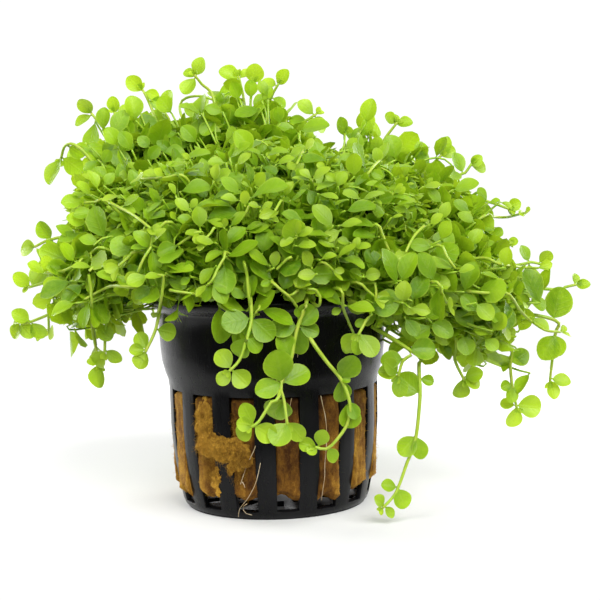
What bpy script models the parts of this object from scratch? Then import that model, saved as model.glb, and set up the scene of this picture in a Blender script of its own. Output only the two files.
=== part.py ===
"""Potted Monte Carlo, a carpeting aquarium plant with small round leaves, in a black net pot.

The pot's axis is Z and its underside lies at z = 0. The front is -Y, the left -X and the right
+X. Lengths in the tables below are millimetres.
"""

import math
import random

import bmesh
import bpy
from mathutils import Matrix, Vector
from mathutils.bvhtree import BVHTree

MM = 0.001
SEED = 11

# Pieces that nearly touch keep this gap
GAP = 0.35

# Net pot: outer and inner wall as (radius, height), each from the rim down to the floor
OUTER_WALL = [
    (26.9, 46.2), (27.5, 45.5), (26.6, 43.9), (24.4, 42.4), (24.1, 34.2), (23.7, 30.2),
    (22.6, 27.0), (22.4, 18.0), (21.6, 9.0), (20.3, 2.2), (19.0, 0.0),
]
INNER_WALL = [(26.0, 46.2), (23.6, 43.3), (22.9, 31.5), (21.7, 27.0), (20.9, 9.5), (19.3, 1.2)]
POT_STEPS = 30
BAR_COUNT = 15
FIRST_BAR_DEG = -5.3
SLOT_LOW, SLOT_HIGH = 2.0, 26.0
SLOT_WIDTH_LOW, SLOT_WIDTH_HIGH = 4.6, 5.4
SLOT_CUT_FROM, SLOT_CUT_TO = 16, 26
FLOOR_SLOT_COUNT = 10
FLOOR_SLOT_WIDTH = 2.2
FLOOR_SLOT_FROM, FLOOR_SLOT_TO = 7.5, 16.5
FLOOR_CUT_LOW, FLOOR_CUT_HIGH = -1, 1.6

# Mineral wool: a plug with a tuft torn out through two slots and over the bar between them
WOOL_BOTTOM, WOOL_TOP = 4.6, 41.2
WOOL_GAP = 0.5
WOOL_EDGE = 2.2
WOOL_WAIST = [31.5, 27.0, 9.5, 5.8]
TUFT_BAR = -1
TUFT_RADIUS, TUFT_HEIGHT = 21.8, 15.5
TUFT_RADII = (6.9, 2.6, 5.4)
TUFT_RAGGED = (0.72, 1.04)
TUFT_LEAN_DEG = 16
BAR_RADIUS = 22.4
BAR_DEPTH = 1.4
BAR_ROOM = 0.5

# Leaf cushion: the lobes that the mass of stems and leaves swells into, (centre), (radii)
LOBES = {
    "crown": ((0, 4, 57), (42, 36, 20)),
    "back_ridge": ((-8, 27, 72), (20, 14, 15)),
    "back_ridge_left": ((-27, 21, 69), (16, 14, 15)),
    "back_ridge_right": ((21, 22, 64), (17, 15, 13)),
    "right_shoulder": ((35, 8, 56), (14, 19, 14)),
    "right_skirt": ((42, -1, 43), (14, 20, 12)),
    "left_shoulder": ((-33, 7, 60), (11, 17, 15)),
    "left_skirt": ((-36, 1, 48), (12, 19, 10)),
    "front_brow": ((-2, -20, 52), (32, 12, 12)),
    "front_right": ((24, -16, 47), (16, 13, 12)),
    "back_skirt": ((0, 33, 53), (35, 15, 17)),
}
LOBE_GRAIN = 2.4
LUMP_SIZE, LUMP_HEIGHT = 7.0, 4.0
CUSHION_FACES = 860
CUSHION_GAP = 0.5

# Shoots: stems of about a millimetre that carry small round leaves
STEM_RADIUS = 0.5
PETIOLE = 0.5
LEAF_SIDES, SMALL_LEAF_SIDES = 7, 6
SMALL_LEAF = 4.0
LEAF_WIDTH = 0.9
LEAF_THICKNESS = 0.7
LEAF_NOD_DEG, LEAF_NOD_TURN = 22, 2.4
LEAF_NOD_TRIES = (0, 20, -20, 40, 60)
LEAF_FACE_OUT, LEAF_FACE_UP = 0.5, 0.25
HEART = (0, 2, 52)
STEM_STEP = 0.2

# Each shoot as seen from the front: its stem's points (x, y, z), then its leaves as
# (stem point, bearing in degrees with 0 to the right and 90 up, length)
SHOOTS = {
    "front_shoot_1": (
        [(-21.5, -21, 51), (-22, -22, 47), (-22.5, -23, 44.5), (-23.5, -24, 40.5),
         (-25.5, -25, 36.5)],
        [(4, 120, 3.4), (4, -180, 2.8), (4, -110, 3.4), (3, -15, 3.6)],
    ),
    "front_shoot_2": (
        [(-4.5, -30, 51), (-4, -31, 47), (-4, -31.5, 43), (-5, -32.5, 39.5), (-6.5, -33, 35.5),
         (-8.5, -34, 33.5)],
        [(2, -170, 5.4), (2, -85, 4), (2, -45, 5.2), (3, -120, 4), (3, -50, 3.2), (5, 125, 4.2),
         (5, -130, 3.2), (5, -45, 3.8)],
    ),
    "front_shoot_3": (
        [(7, -29, 46.5), (5, -30, 41), (3.5, -30.5, 34.5), (1.5, -31.5, 30), (2, -32, 27),
         (2.5, -33, 22.5)],
        [(1, 180, 4.8), (1, 45, 4.4), (1, -20, 3.6), (2, 110, 5), (1, -90, 5.2), (3, 100, 6.4),
         (3, 25, 5.4), (3, -160, 5.2), (4, -90, 4.4), (5, -120, 4.8), (5, -50, 4.4),
         (4, -125, 4.8)],
    ),
    "front_shoot_3_branch": (
        [(1, -33, 28), (-0.5, -33.5, 27), (-3, -34.5, 23.5), (-4.5, -35, 22.5)],
        [(3, 115, 4.2), (3, -35, 4.4), (3, 170, 3), (3, -145, 3.6)],
    ),
    "front_shoot_4": (
        [(7.5, -30, 39), (10.5, -30.5, 34.5), (13.5, -30.5, 30.5), (15, -31, 26), (14.5, -31, 22),
         (12, -31.5, 18.5), (10, -31.5, 17), (8, -32, 17.5)],
        [(2, 55, 5), (2, -80, 4.6), (2, -20, 1.6), (3, -85, 5), (3, -70, 3.2), (6, -60, 3),
         (7, 70, 3.4), (7, 165, 3.2), (7, -155, 2)],
    ),
    "front_shoot_5": (
        [(19.5, -29, 44), (18.5, -30, 42), (17, -31, 39.5)],
        [(2, -60, 4.8), (2, -130, 4), (2, -100, 3.6), (0, 10, 5.2), (1, -150, 2)],
    ),
    "front_shoot_6": (
        [(29.5, -24, 34), (29.5, -24, 32.5), (29.5, -24.5, 29), (29.5, -25, 26),
         (28.5, -25, 17.5), (26.5, -25, 12), (24.5, -25.5, 7), (23, -26, 5), (21.5, -26, 3.5)],
        [(3, 145, 5.2), (4, -130, 4.4), (4, -80, 4.2), (6, 170, 3), (6, -75, 3.8), (8, 140, 2.6),
         (8, -55, 2.4), (2, -20, 2.4)],
    ),
    "front_shoot_7": (
        [(27.5, -27, 35.5), (26, -27, 33.5), (25, -27, 30.5)],
        [(2, 145, 3.8), (1, 180, 4), (2, 170, 3.4), (2, -90, 4), (0, 0, 4.8)],
    ),
    "right_shoot_1": (
        [(37.5, -14, 37), (38, -13, 31.5), (40, -12, 27)],
        [(2, 15, 3.6), (2, -95, 4), (2, -35, 3.2)],
    ),
    "right_shoot_2": (
        [(50.5, -4, 33), (51, -3.5, 28.5), (51.5, -2.5, 24), (52.5, -2, 19)],
        [(2, -160, 2.4), (3, 170, 2.8), (2, -100, 3.6), (3, -5, 4.8), (3, -100, 4.2), (1, 30, 3.8)],
    ),
    "right_shoot_3": (
        [(61.5, 0, 37.5), (61.5, 1, 34), (60.5, 2, 24)],
        [(1, -125, 5.4), (1, -70, 4.4), (2, -10, 3.8), (2, -85, 3.8), (0, 75, 6.6)],
    ),
    "left_shoot_1": (
        [(-37.5, -8, 51.5), (-38, -8.5, 45), (-37.5, -9.5, 39), (-36.5, -10, 32)],
        [(3, -90, 4.6), (3, 145, 2), (3, 175, 2)],
    ),
    "left_shoot_2": (
        [(-33, -12, 46), (-34.5, -12, 40.5), (-35, -12, 35)],
        [(2, -35, 3.4), (2, -130, 3.8)],
    ),
    "left_shoot_3": (
        [(-36, -6, 47.5), (-44.5, -4, 43.5), (-52, -2, 40.5), (-54.5, 0, 40.5)],
        [(2, 145, 3.8), (2, -60, 4), (3, -45, 3.8), (3, -120, 3.4)],
    ),
    "left_shoot_4": (
        [(-45, 0, 49.5), (-49, 2, 48.5), (-52.5, 4, 47.5)],
        [(2, 135, 4), (2, 60, 5.2)],
    ),
    "left_shoot_5": (
        [(-40.5, 8, 77), (-44, 10, 78), (-45.5, 12, 75)],
        [(2, -105, 6), (2, -40, 4.8), (1, -35, 3.6)],
    ),
    "left_shoot_6": (
        [(-43.5, 6, 57.5), (-48, 7, 57.5), (-51.5, 8, 56)],
        [(1, 120, 4), (2, -175, 3.8), (1, -75, 4)],
    ),
    "top_shoot_1": (
        [(-35.5, 20, 80), (-37.5, 21, 82.5), (-39.5, 22, 85)],
        [(2, 120, 3.8), (2, -160, 4)],
    ),
    "top_shoot_2": (
        [(-32, 24, 82), (-33.5, 24, 84), (-34.5, 24, 85)],
        [(2, 90, 3.4), (2, 25, 3.6)],
    ),
    "top_shoot_3": (
        [(-26, 26, 85.5), (-27, 26, 88), (-28, 26, 90)],
        [(2, 135, 4.2), (2, -20, 3.4), (1, -15, 3.2)],
    ),
    "top_shoot_4": (
        [(-21.5, 28, 80.5), (-22.5, 28, 83.5), (-23.5, 28, 85)],
        [(2, 65, 4.8), (1, 160, 4.2)],
    ),
    "top_shoot_5": (
        [(-12, 28, 88), (-14.5, 27, 91), (-16, 26, 93)],
        [(2, 65, 3.8), (2, 150, 2.8), (2, -120, 4.2)],
    ),
    "top_shoot_6": (
        [(-5, 30, 87), (-5.5, 30, 90), (-6, 30, 92.5)],
        [(2, 155, 4.2), (1, 180, 4.6), (2, 45, 2.4)],
    ),
    "top_shoot_7": (
        [(-3.5, 30, 86), (-3, 29, 89), (-2.5, 28, 91)],
        [(2, 80, 4.2), (2, -15, 3.6)],
    ),
    "top_shoot_8": (
        [(0.5, 28, 84.5), (1.5, 27, 88), (3, 26, 90.5)],
        [(2, 50, 3.8), (2, 150, 3.2), (1, -25, 3.2), (1, -155, 3.6)],
    ),
    "top_shoot_9": (
        [(8, 28, 80.5), (10, 28, 82.5), (11.5, 28, 83.5)],
        [(2, 140, 4), (2, -45, 4), (1, 180, 3.6)],
    ),
    "top_shoot_10": (
        [(19, 26, 74), (20.5, 26, 77.5), (22, 26, 79.5)],
        [(2, 75, 4.6), (2, 15, 4.4)],
    ),
    "top_shoot_11": (
        [(25, 22, 72.5), (26.5, 21, 77), (29.5, 20, 81)],
        [(2, 5, 3.2), (2, 75, 2.2), (2, 140, 2.8)],
    ),
    "top_shoot_12": (
        [(35.5, 18, 70), (37, 17, 71.5), (39, 16, 73.5)],
        [(2, 70, 4), (2, 25, 3.4), (1, 125, 4.4)],
    ),
    "top_shoot_13": (
        [(42, 14, 68.5), (44, 14, 69.5), (45.5, 14, 71.5)],
        [(2, 40, 2.6), (2, 0, 3.6), (1, 105, 4.4)],
    ),
    "right_shoot_4": (
        [(45, 12, 63.5), (49, 11, 63), (53, 10, 61.5)],
        [(2, 20, 2.8), (2, -20, 2.2), (1, -90, 4.4), (1, 135, 3.2)],
    ),
    "right_shoot_5": (
        [(46.5, 8, 55), (49.5, 8, 55), (52.5, 8, 54)],
        [(2, 0, 2.2), (1, 45, 2.6)],
    ),
    "right_shoot_6": (
        [(54.5, 4, 49.5), (57, 4, 50), (59, 4, 49.5)],
        [(2, 50, 3.2), (1, 110, 3.4), (1, -85, 5.6)],
    ),
    "right_shoot_7": (
        [(62, 2, 44), (64, 2, 44.5), (66.5, 2, 45)],
        [(2, 0, 2.8), (2, 65, 2.2), (1, -115, 4.4)],
    ),
}

# The far side's shoots hang in a fan that is wider than it is deep
BACK_SHOOTS = 6
BACK_FROM_DEG, BACK_TO_DEG = 112, 250
BACK_REACH_X, BACK_REACH_Y = 50, 48
BACK_LEAVES = [(1, 20, 4.6), (1, 170, 4.4), (2, -30, 3.8), (2, -150, 3.8)]


def clear_scene():
    for thing in list(bpy.data.objects):
        bpy.data.objects.remove(thing, do_unlink=True)


def new_collection(name):
    made = bpy.data.collections.new(name)
    bpy.context.scene.collection.children.link(made)
    return made


def new_material(name, colour, roughness, thin=0.0):
    """A plain finish; thin lets light through, as a leaf does."""
    made = bpy.data.materials.new(name)
    made.use_nodes = True
    shader = made.node_tree.nodes["Principled BSDF"]
    shader.inputs["Base Color"].default_value = (*colour, 1.0)
    shader.inputs["Roughness"].default_value = roughness
    shader.inputs["Metallic"].default_value = 0.0
    shader.inputs["Subsurface Weight"].default_value = thin
    made.diffuse_color = (*colour, 1.0)
    return made


def add_object(name, mesh, home, finish=None):
    thing = bpy.data.objects.new(name, mesh)
    home.objects.link(thing)
    if finish:
        mesh.materials.append(finish)
    return thing


def mesh_from(bm, name):
    mesh = bpy.data.meshes.new(name)
    bm.to_mesh(mesh)
    bm.free()
    return mesh


def as_cutter(thing):
    thing.hide_render = True
    thing.display_type = "WIRE"
    return thing


def evaluated_mesh(thing):
    """The object's mesh with its modifiers, as a mesh of its own."""
    graph = bpy.context.evaluated_depsgraph_get()
    graph.update()
    return bpy.data.meshes.new_from_object(thing.evaluated_get(graph))


def bake(thing):
    """Replaces the object's mesh by its evaluated one, so that others can be fitted to it."""
    mesh = evaluated_mesh(thing)
    thing.modifiers.clear()
    thing.data = mesh
    return thing


def search_tree(mesh):
    """A tree for distance and overlap tests, in world space; objects here stay unmoved."""
    corners = [vertex.co.copy() for vertex in mesh.vertices]
    faces = [tuple(face.vertices) for face in mesh.polygons]
    return BVHTree.FromPolygons(corners, faces)


def turned(name, profile, steps, home, finish=None):
    """A solid of revolution from (radius, height) points that run down its outer side."""
    bm = bmesh.new()
    points = [bm.verts.new((radius * MM, 0, height * MM)) for radius, height in profile]
    for above, below in zip(points, points[1:]):
        bm.edges.new((above, below))
    thing = add_object(name, mesh_from(bm, name), home, finish)
    screw = thing.modifiers.new("turn", "SCREW")
    screw.axis = "Z"
    screw.steps = steps
    screw.render_steps = steps
    screw.use_merge_vertices = True
    screw.merge_threshold = 0.00001
    return thing


def cut(thing, cutter):
    boolean = thing.modifiers.new("cut", "BOOLEAN")
    boolean.operation = "DIFFERENCE"
    boolean.solver = "EXACT"
    boolean.object = cutter


def join(thing, other):
    boolean = thing.modifiers.new("join", "BOOLEAN")
    boolean.operation = "UNION"
    boolean.solver = "EXACT"
    boolean.object = other


def around(angle_deg):
    """Turns from the front, -Y, towards the right, +X."""
    return Matrix.Rotation(math.radians(angle_deg), 4, "Z")


def bar_deg(index):
    return FIRST_BAR_DEG + index * 360 / BAR_COUNT


def add_block(bm, low, high, width_low, width_high, turn):
    """An upright block that reaches along -Y from low[0] to high[0] and up from low[1] to high[1]."""
    made = bmesh.ops.create_cube(bm, size=1.0)["verts"]
    for corner in made:
        top = corner.co.z > 0
        width = width_high if top else width_low
        outward = high[0] if corner.co.y < 0 else low[0]
        height = high[1] if top else low[1]
        corner.co = Vector((math.copysign(width / 2, corner.co.x), -outward, height)) * MM
        corner.co = turn @ corner.co


def make_pot(home, cutters, finish):
    profile = [(0.0, INNER_WALL[-1][1])] + INNER_WALL[::-1] + OUTER_WALL + [(0.0, 0.0)]
    pot = turned("net_pot", profile, POT_STEPS, home, finish)
    bm = bmesh.new()
    for index in range(BAR_COUNT):
        turn = around(bar_deg(index + 0.5))
        low, high = (SLOT_CUT_FROM, SLOT_LOW), (SLOT_CUT_TO, SLOT_HIGH)
        add_block(bm, low, high, SLOT_WIDTH_LOW, SLOT_WIDTH_HIGH, turn)
    for index in range(FLOOR_SLOT_COUNT):
        turn = around(index * 360 / FLOOR_SLOT_COUNT)
        low, high = (FLOOR_SLOT_FROM, FLOOR_CUT_LOW), (FLOOR_SLOT_TO, FLOOR_CUT_HIGH)
        add_block(bm, low, high, FLOOR_SLOT_WIDTH, FLOOR_SLOT_WIDTH, turn)
    slots = as_cutter(add_object("pot_openings", mesh_from(bm, "pot_openings"), cutters))
    cut(pot, slots)
    return pot


def pot_inside(height):
    """The inner wall's radius at a height."""
    for (upper_radius, upper), (lower_radius, lower) in zip(INNER_WALL, INNER_WALL[1:]):
        if lower <= height <= upper:
            share = (height - lower) / (upper - lower)
            return lower_radius + share * (upper_radius - lower_radius)
    return INNER_WALL[-1][0]


def make_wool(home, cutters, finish):
    """The plug that fills the pot, with its torn tuft and room for the bar under the tuft."""
    profile = [(0.0, WOOL_TOP)]
    profile += [(pot_inside(height) - WOOL_GAP, height) for height in [WOOL_TOP] + WOOL_WAIST]
    profile += [(pot_inside(WOOL_BOTTOM) - WOOL_EDGE, WOOL_BOTTOM), (0.0, WOOL_BOTTOM)]
    wool = turned("rockwool_plug", profile, POT_STEPS, home, finish)
    join(wool, make_tuft(cutters))
    cut(wool, make_bar_room(cutters))
    return wool


def make_tuft(cutters):
    """A ragged clump that leans across the bar."""
    bm = bmesh.new()
    bmesh.ops.create_icosphere(bm, subdivisions=2, radius=1.0)
    chance = random.Random(SEED)
    for corner in bm.verts:
        ragged = chance.uniform(*TUFT_RAGGED)
        corner.co = Vector((corner.co.x * ragged, corner.co.y, corner.co.z * ragged))
    place = (
        around(bar_deg(TUFT_BAR))
        @ Matrix.Translation(Vector((0, -TUFT_RADIUS, TUFT_HEIGHT)) * MM)
        @ Matrix.Rotation(math.radians(TUFT_LEAN_DEG), 4, "Y")
        @ Matrix.Diagonal(Vector((*TUFT_RADII, 1 / MM)) * MM)
    )
    bm.transform(place)
    return as_cutter(add_object("torn_tuft", mesh_from(bm, "torn_tuft"), cutters))


def make_bar_room(cutters):
    """A block that frees the bar which the tuft lies over."""
    width = 2 * math.pi * BAR_RADIUS / BAR_COUNT - SLOT_WIDTH_HIGH + 2 * BAR_ROOM
    low = (pot_inside(SLOT_HIGH) - BAR_DEPTH, 0)
    high = (BAR_RADIUS + GAP, OUTER_WALL[5][1])
    bm = bmesh.new()
    add_block(bm, low, high, width, width, around(bar_deg(TUFT_BAR)))
    return as_cutter(add_object("bar_room", mesh_from(bm, "bar_room"), cutters))


def make_cushion(home, cutters, finish):
    bm = bmesh.new()
    for centre, radii in LOBES.values():
        place = Matrix.Translation(Vector(centre) * MM) @ Matrix.Diagonal(Vector((*radii, 1 / MM)) * MM)
        bmesh.ops.create_icosphere(bm, subdivisions=3, radius=1.0, matrix=place)
    cushion = add_object("leaf_cushion", mesh_from(bm, "leaf_cushion"), home, finish)
    remesh = cushion.modifiers.new("one_skin", "REMESH")
    remesh.mode = "VOXEL"
    remesh.voxel_size = LOBE_GRAIN * MM
    lumps = bpy.data.textures.new("leaf_lumps", "CLOUDS")
    lumps.noise_scale = LUMP_SIZE * MM
    lumps.noise_depth = 0
    displace = cushion.modifiers.new("leaf_lumps", "DISPLACE")
    displace.texture = lumps
    displace.texture_coords = "LOCAL"
    displace.strength = LUMP_HEIGHT * MM
    displace.mid_level = 0.5
    bake(cushion)
    thin = cushion.modifiers.new("fewer_faces", "DECIMATE")
    thin.ratio = CUSHION_FACES / (2 * len(cushion.data.polygons))
    cut(cushion, make_pot_room(cutters))
    return bake(cushion)


def make_pot_room(cutters):
    """The pot's outside and the wool's top, grown by the gap that the cushion keeps to them."""
    wool_top = WOOL_TOP + CUSHION_GAP
    (rim_inside, rim_height), (throat, throat_height) = INNER_WALL[:2]
    rim_top = rim_height + CUSHION_GAP
    profile = [(0.0, wool_top), (throat - CUSHION_GAP, wool_top)]
    profile += [(throat - CUSHION_GAP, throat_height), (rim_inside - CUSHION_GAP, rim_top)]
    profile += [(OUTER_WALL[0][0], rim_top)]
    profile += [(radius + CUSHION_GAP, height) for radius, height in OUTER_WALL[1:]]
    profile += [(0.0, 0.0)]
    return as_cutter(turned("pot_room", profile, POT_STEPS, cutters))


class Surroundings:
    """The pieces made so far, for keeping the next one clear of them."""

    def __init__(self):
        self.trees = []

    def add(self, thing):
        self.trees.append(search_tree(evaluated_mesh(thing)))

    def inside(self, tree, point):
        """Whether the point is in the solid, by the faces that a line to far above meets."""
        hits = 0
        start = point.copy()
        way = Vector((0.013, 0.007, 1.0)).normalized()
        while hits < 200:
            place, _, face, _ = tree.ray_cast(start, way)
            if face is None:
                break
            hits += 1
            start = place + way * 1e-7
        return hits % 2 == 1

    def room_at(self, point):
        """The distance to the nearest piece, negative inside one."""
        least = math.inf
        for tree in self.trees:
            distance = tree.find_nearest(point)[3]
            if self.inside(tree, point):
                distance = -distance
            least = min(least, distance)
        return least

    def holds(self, mesh):
        """Whether a closed mesh touches a piece."""
        own = search_tree(mesh)
        middle = sum((vertex.co for vertex in mesh.vertices), Vector()) / len(mesh.vertices)
        return any(tree.overlap(own) or self.inside(tree, middle) for tree in self.trees)


def open_stretch(points, near):
    """The stem's part in the open: its points from the tip back to where it meets a piece."""
    kept = [points[-1]]
    for inner, outer in zip(points[-2::-1], points[:0:-1]):
        steps = max(2, int((inner - outer).length / (STEM_STEP * MM)))
        for step in range(1, steps + 1):
            place = outer.lerp(inner, step / steps)
            if near.room_at(place) < (STEM_RADIUS + GAP) * MM:
                if step > 1:
                    kept.append(outer.lerp(inner, (step - 1) / steps))
                return kept[::-1]
        kept.append(inner)
    return kept[::-1]


def stem_mesh(name, points):
    curve = bpy.data.curves.new(name, "CURVE")
    curve.dimensions = "3D"
    curve.bevel_depth = STEM_RADIUS * MM
    curve.bevel_resolution = 0
    curve.use_fill_caps = True
    line = curve.splines.new("POLY")
    line.points.add(len(points) - 1)
    for knot, place in zip(line.points, points):
        knot.co = (*place, 1.0)
    thing = add_object(name, curve, bpy.context.scene.collection)
    mesh = evaluated_mesh(thing)
    bpy.data.objects.remove(thing, do_unlink=True)
    bm = bmesh.new()
    bm.from_mesh(mesh)
    bmesh.ops.remove_doubles(bm, verts=bm.verts, dist=1e-6)
    return mesh_from(bm, name)


def leaf_mesh(place, way, face, length, grown=0.0):
    """A flat lens from place along way, its blade square to face."""
    across = face.cross(way).normalized()
    face = way.cross(across)
    middle = place + way * (PETIOLE + length / 2) * MM
    turn = Matrix((way, across, face)).transposed().to_4x4()
    half = length / 2
    size = Vector((half + PETIOLE + grown, half * LEAF_WIDTH + grown, LEAF_THICKNESS / 2 + grown))
    bm = bmesh.new()
    sides = SMALL_LEAF_SIDES if length < SMALL_LEAF else LEAF_SIDES
    bmesh.ops.create_uvsphere(bm, u_segments=sides, v_segments=2, radius=1.0)
    bm.transform(Matrix.Rotation(math.pi, 4, "Z"))
    bm.transform(Matrix.Translation(middle) @ turn @ Matrix.Diagonal(Vector((*size, 1 / MM)) * MM))
    return mesh_from(bm, "leaf")


def leaf_ways(bearing_deg, nod_deg, seen_from, outward):
    """The ways that a leaf may point, from its own nod towards stronger ones."""
    bearing = math.radians(bearing_deg)
    flat = seen_from @ Vector((math.cos(bearing), 0.0, math.sin(bearing)))
    for more in LEAF_NOD_TRIES:
        lean = math.radians(nod_deg + more)
        yield (flat * math.cos(lean) + outward * math.sin(lean)).normalized()


def clear_leaf(place, ways, outward, length, near):
    """The leaf in the first way that is clear of the other pieces."""
    for way in ways:
        if not near.holds(leaf_mesh(place, way, outward, length, grown=GAP)):
            return leaf_mesh(place, way, outward, length)
    raise RuntimeError("no way is clear for this leaf")


def fused(name, meshes, home, finish):
    """One solid from overlapping closed meshes."""
    first = add_object(name, meshes[0], home, finish)
    helpers = new_collection(name + "_leaves")
    for mesh in meshes[1:]:
        add_object("leaf", mesh, helpers)
    if len(meshes) > 1:
        boolean = first.modifiers.new("fuse", "BOOLEAN")
        boolean.operation = "UNION"
        boolean.solver = "EXACT"
        boolean.operand_type = "COLLECTION"
        boolean.collection = helpers
        bake(first)
    for helper in list(helpers.objects):
        bpy.data.objects.remove(helper, do_unlink=True)
    bpy.data.collections.remove(helpers)
    return first


def make_shoot(name, stem, leaves, near, home, finish, seen_from_deg=0):
    """A stem from the piece that it grows out of to its tip, fused with its leaves."""
    points = [Vector(point) * MM for point in stem]
    shown = open_stretch([Vector(HEART) * MM] + points, near)
    meshes = [stem_mesh(name, shown)]
    seen_from = around(seen_from_deg)
    for index, (knot, bearing, length) in enumerate(leaves):
        along = shown.index(points[knot])
        inward = (shown[along - 1] - shown[along]).normalized()
        place = points[knot] + inward * STEM_RADIUS * MM
        outward = Vector((place.x, place.y, 0)).normalized() * LEAF_FACE_OUT
        outward = (outward + seen_from @ Vector((0, -1, LEAF_FACE_UP))).normalized()
        nod = LEAF_NOD_DEG * math.sin(LEAF_NOD_TURN * index + knot)
        ways = leaf_ways(bearing, nod, seen_from, outward)
        meshes.append(clear_leaf(place, ways, outward, length, near))
    near.add(fused(name, meshes, home, finish))


def back_shoots():
    """The far side's shoots: name, stem, leaves and the bearing that each is seen from."""
    chance = random.Random(SEED)
    for index in range(BACK_SHOOTS):
        share = index / (BACK_SHOOTS - 1)
        angle = BACK_FROM_DEG + share * (BACK_TO_DEG - BACK_FROM_DEG)
        turn = around(angle)
        across, along = math.sin(math.radians(angle)), math.cos(math.radians(angle))
        reach = 1 / math.hypot(across / BACK_REACH_X, along / BACK_REACH_Y)
        reach += chance.uniform(0, 3)
        top = chance.uniform(50, 58)
        drop = chance.uniform(12, 22)
        stem = [(0, 6 - reach, top), (0, -3 - reach, top - drop * 0.4), (0, -4 - reach, top - drop)]
        stem = [tuple(turn @ Vector(point)) for point in stem]
        yield f"back_shoot_{index + 1}", stem, BACK_LEAVES, angle


def main():
    clear_scene()
    home = new_collection("potted_monte_carlo")
    cutters = new_collection("cutters")
    black = new_material("black_plastic", (0.012, 0.012, 0.014), 0.28)
    ochre = new_material("mineral_wool", (0.42, 0.23, 0.07), 0.95)
    dense = new_material("leaf_mass", (0.16, 0.36, 0.03), 0.55, 0.1)
    fresh = new_material("fresh_leaf", (0.32, 0.58, 0.04), 0.45, 0.15)
    near = Surroundings()
    near.add(make_pot(home, cutters, black))
    near.add(make_wool(home, cutters, ochre))
    near.add(make_cushion(home, cutters, dense))
    for name, (stem, leaves) in SHOOTS.items():
        make_shoot(name, stem, leaves, near, home, fresh)
    for name, stem, leaves, seen_from_deg in back_shoots():
        make_shoot(name, stem, leaves, near, home, fresh, seen_from_deg)


main()
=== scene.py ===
# %% [markdown]
# # Potted Monte Carlo: an aquarium plant in a net pot
# The plant is a dense cushion of thin stems with small round leaves, rooted in a plug of
# mineral wool that sits in a slotted black pot. The solids of the construction model are
# loaded first and never change. Each piece below is a finer mesh that stands for one of them.
# All sizes here are millimetres, and MM turns them into Blender's metres.

# %% Load the measured solids
import math
import random

import bmesh
import bpy
import numpy as np
from mathutils import Matrix, Vector
from mathutils.bvhtree import BVHTree
from mathutils.kdtree import KDTree


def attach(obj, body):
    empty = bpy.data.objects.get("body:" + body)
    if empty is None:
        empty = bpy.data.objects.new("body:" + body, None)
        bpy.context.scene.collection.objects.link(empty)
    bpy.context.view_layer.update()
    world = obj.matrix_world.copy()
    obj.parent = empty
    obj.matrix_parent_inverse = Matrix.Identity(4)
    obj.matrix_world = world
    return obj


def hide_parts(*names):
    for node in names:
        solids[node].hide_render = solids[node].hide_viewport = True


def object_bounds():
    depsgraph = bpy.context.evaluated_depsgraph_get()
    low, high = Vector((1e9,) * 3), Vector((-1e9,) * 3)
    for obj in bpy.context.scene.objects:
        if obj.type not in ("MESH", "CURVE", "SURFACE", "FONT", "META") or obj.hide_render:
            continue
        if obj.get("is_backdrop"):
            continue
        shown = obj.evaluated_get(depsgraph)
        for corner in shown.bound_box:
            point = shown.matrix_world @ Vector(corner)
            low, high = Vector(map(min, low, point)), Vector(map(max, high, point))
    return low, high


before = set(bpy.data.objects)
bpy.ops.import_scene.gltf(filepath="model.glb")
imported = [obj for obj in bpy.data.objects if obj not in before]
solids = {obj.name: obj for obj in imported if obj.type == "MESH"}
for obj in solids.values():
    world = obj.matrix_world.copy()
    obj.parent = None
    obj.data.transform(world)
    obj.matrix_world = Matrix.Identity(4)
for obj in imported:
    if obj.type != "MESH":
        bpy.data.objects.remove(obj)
cad_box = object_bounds()
MM = 0.001
SEED = 7
TINY = 1e-9
UP = Vector((0, 0, 1))
FRONT = Vector((0, -1, 0))


def in_mm(*corners):
    return [[round(value / MM, 1) for value in corner] for corner in corners]


def clamp(value, low=0, high=1):
    return min(max(value, low), high)


def jitter(chance, spread):
    """A random step in any direction."""
    return Vector([chance.gauss(0, spread) for _ in range(3)])


print("solids:", len(solids), "box:", in_mm(*cad_box))

# %% [markdown]
# ## Camera
# The photograph was taken with a long lens from about 35 cm, looking down by six degrees.
# The distance, the height and the small roll were found by fitting the pot's rim, slots and
# foot. A long lens keeps the pot's sides almost parallel, as they are in the picture.

# %% Camera
IMAGE_WIDTH = 600
FOCAL_PIXELS = 1622.3
SENSOR_WIDTH = 36.0
NEAREST = 10.0
CAMERA_DISTANCE = 350.0
CAMERA_DOWN_DEG = 5.98
CAMERA_ROLL_DEG = -1.59
CAMERA_PAN_DEG = 1.02
AIM_HEIGHT = 43.5


def camera_axes():
    """The camera's right, up and forward directions after its pan and roll."""
    down = math.radians(CAMERA_DOWN_DEG)
    forward = Vector((0, math.cos(down), -math.sin(down)))
    up = Vector((0, math.sin(down), math.cos(down)))
    right = Vector((1, 0, 0))
    pan = Matrix.Rotation(-math.radians(CAMERA_PAN_DEG), 3, up)
    forward = pan @ forward
    roll = Matrix.Rotation(-math.radians(CAMERA_ROLL_DEG), 3, forward)
    return roll @ (pan @ right), roll @ up, forward


def add_camera():
    lens = bpy.data.cameras.new("photo_camera")
    lens.sensor_width = SENSOR_WIDTH
    lens.lens = FOCAL_PIXELS * SENSOR_WIDTH / IMAGE_WIDTH
    lens.clip_start = NEAREST * MM
    camera = bpy.data.objects.new("photo_camera", lens)
    bpy.context.scene.collection.objects.link(camera)
    right, up, forward = camera_axes()
    turn = Matrix((right, up, -forward)).transposed().to_4x4()
    down = math.radians(CAMERA_DOWN_DEG)
    back = Vector((0, -math.cos(down), math.sin(down))) * CAMERA_DISTANCE
    camera.matrix_world = Matrix.Translation((Vector((0, 0, AIM_HEIGHT)) + back) * MM) @ turn
    bpy.context.scene.camera = camera
    return camera


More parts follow.
